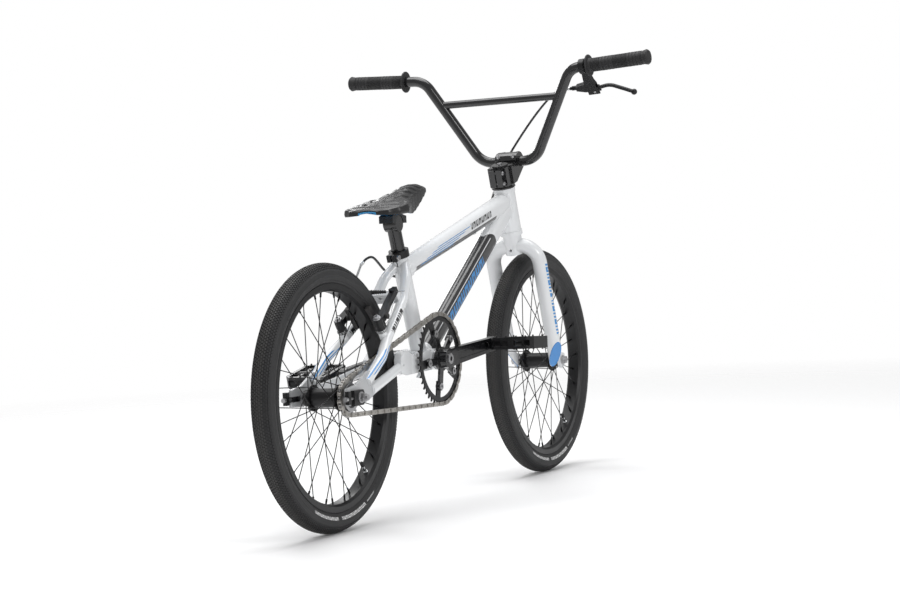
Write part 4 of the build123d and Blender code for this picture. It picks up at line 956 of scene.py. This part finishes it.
def evenly(line, spacing):
    """Points a steady distance apart along a closed line."""
    lengths = [(line[(k + 1) % len(line)] - line[k]).length for k in range(len(line))]
    total = sum(lengths)
    steps = int(total / spacing)
    places, walked, index = [], 0.0, 0
    for k in range(steps):
        goal = total * k / steps
        while walked + lengths[index] < goal:
            walked += lengths[index]
            index += 1
        places.append(line[index].lerp(line[(index + 1) % len(line)], (goal - walked) / lengths[index]))
    return places, total


def untwist(rings):
    """Starts each ring at the point nearest the last ring's start, going the same way round."""
    for k in range(1, len(rings)):
        last, here = rings[k - 1], rings[k]
        shift = min(range(len(here)), key=lambda s: (here[s] - last[0]).length)
        here = here[shift:] + here[:shift]
        if (here[1] - last[1]).length > (here[-1] - last[1]).length:
            here = [here[0]] + here[:0:-1]
        rings[k] = here


def bead(name, line, radius):
    """A closed rippled ring of weld along a line of points."""
    places, total = evenly(line, bead_step)
    rings = []
    for k, centre in enumerate(places):
        first, second = side_axes(places[(k + 1) % len(places)] - places[k - 1])
        ripple = abs(sin(pi * total * k / len(places) / ripple_pitch))
        size = radius * (bead_low + bead_swell * ripple)
        rings.append([centre + (first * cos(a) + second * sin(a)) * size
                      for a in (2 * pi * j / bead_sides for j in range(bead_sides))])
    untwist(rings)
    vertices, faces = skin(rings + [rings[0]], caps=False)
    return add_piece(name, vertices, faces, "frame", "frame_white")


bead_step, bead_sides, ripple_pitch, bead_low, bead_swell = 0.8, 10, 3.2, 0.86, 0.16
main_bead, shell_bead, approach = 2.3, 2.0, 100
head_axis = (steer_point(0, 0, 300), steer_up)
welds = 0
for name, start, end, depth, width, (other, direction), radius in (
    ("weld_top_head", top_rear, top_front, 46.0, 33.0, head_axis, head_tube_radius),
    ("weld_down_head", down_rear, down_front, 46.0, 34.0, head_axis, head_tube_radius),
    ("weld_top_seat", top_front, top_rear, 37.3, 30.1, (bracket, seat_up), seat_tube_radius),
    ("weld_down_shell", down_front, down_rear, 42.2, 32.1, (bracket, across), shell_radius),
):
    axis = (end - start).normalized()
    upward = Vector((-axis.z, 0, axis.x))
    section = oval_section(depth, width, 96)
    line = meeting_line(end - axis * approach, axis, section, upward, other, direction, radius)
    bead(name, line, main_bead)
    welds += 1
turns = [2 * pi * k / 72 for k in range(72)]
circle = [(seat_tube_radius * cos(a), seat_tube_radius * sin(a)) for a in turns]
start = bracket + seat_up * approach
line = meeting_line(start, -seat_up, circle, seat_forward, bracket, across, shell_radius)
bead("weld_seat_shell", line, shell_bead)
print("weld beads", welds + 1)

# %% [markdown]
# ## Floor, light and camera
# A studio for a white object needs light from all round with a little more from above
# and the side, so the edges of the white tubes still show against the pale floor.

# %% Floor
floor_radius_m, floor_drop_m, fade_middle, fade_width = 40.0, 0.0006, 2600.0, 3000.0
floor_mesh = bpy.data.meshes.new("studio_floor")
shape = bmesh.new()
bmesh.ops.create_circle(shape, cap_ends=True, segments=96, radius=floor_radius_m)
shape.to_mesh(floor_mesh)
shape.free()
floor = bpy.data.objects.new("studio_floor", floor_mesh)
floor.location.z = -floor_drop_m
bpy.context.scene.collection.objects.link(floor)
floor_finish = bpy.data.materials.new("studio_floor")
floor_finish.use_nodes = True
floor_tree = floor_finish.node_tree
floor_shader = floor_tree.nodes["Principled BSDF"]
floor_shader.inputs["Base Color"].default_value = (0.93, 0.93, 0.935, 1)
floor_shader.inputs["Roughness"].default_value = 0.8
floor_x, floor_y = place_on(floor_tree, (0, 0, 0), ahead), place_on(floor_tree, (0, 0, 0), across)
distance = (floor_x * floor_x + floor_y * floor_y).operate("SQRT")
fade = ~distance.above(fade_middle, fade_width)
floor_tree.links.new(fade.socket, floor_shader.inputs["Alpha"])
floor_mesh.materials.append(floor_finish)
print("floor radius", floor_radius_m, "m")

# %% Light
world = bpy.data.worlds.new("studio")
bpy.context.scene.world = world
world.use_nodes = True
sky = world.node_tree
seen = sky.nodes.new("ShaderNodeLightPath")
glow = sky.nodes["Background"]
glow.inputs["Color"].default_value = (1.0, 1.0, 1.0, 1.0)
seen_strength, lighting_strength = 1.0, 0.45
camera_ray = Field(sky, seen.outputs["Is Camera Ray"])
strength = camera_ray * (seen_strength - lighting_strength) + lighting_strength
sky.links.new(strength.socket, glow.inputs["Strength"])


def softbox(name, place, aim, size, power):
    lamp = bpy.data.lights.new(name, "AREA")
    lamp.shape, lamp.size, lamp.size_y, lamp.energy = "RECTANGLE", size[0], size[1], power
    box = bpy.data.objects.new(name, lamp)
    box.location = place
    box.rotation_euler = (Vector(aim) - Vector(place)).to_track_quat("-Z", "Y").to_euler()
    bpy.context.scene.collection.objects.link(box)


softbox("softbox_over", (0.2, 0.3, 3.6), (0, 0, 0.3), (3.6, 3.0), 115)
softbox("softbox_side", (-1.6, -3.6, 2.2), (0, 0, 0.4), (1.6, 1.2), 40)
softbox("softbox_rear", (2.6, 2.6, 2.0), (0, 0, 0.4), (1.2, 1.4), 25)
print("softboxes 3")

# %% Camera
camera_data = bpy.data.cameras.new("camera")
camera_data.sensor_width = 36.0
camera_data.lens = 84.2
camera_data.clip_end = 200.0
camera = bpy.data.objects.new("camera", camera_data)
bpy.context.scene.collection.objects.link(camera)
yaw, pitch, roll = radians(26.5), radians(-1.52), radians(-3.0)
camera_place = Vector((-3.81502, -1.9243, 0.51739))
forward = Vector((cos(pitch) * cos(yaw), cos(pitch) * sin(yaw), sin(pitch)))
level_right = forward.cross(upwards).normalized()
level_up = level_right.cross(forward)
right = level_right * cos(roll) + level_up * sin(roll)
upright = level_up * cos(roll) - level_right * sin(roll)
turn = Matrix((right, upright, -forward)).transposed()
camera.matrix_world = Matrix.Translation(camera_place) @ turn.to_4x4()
bpy.context.scene.camera = camera
bpy.context.scene.view_settings.view_transform = "Standard"
print("camera at", tuple(camera.location))
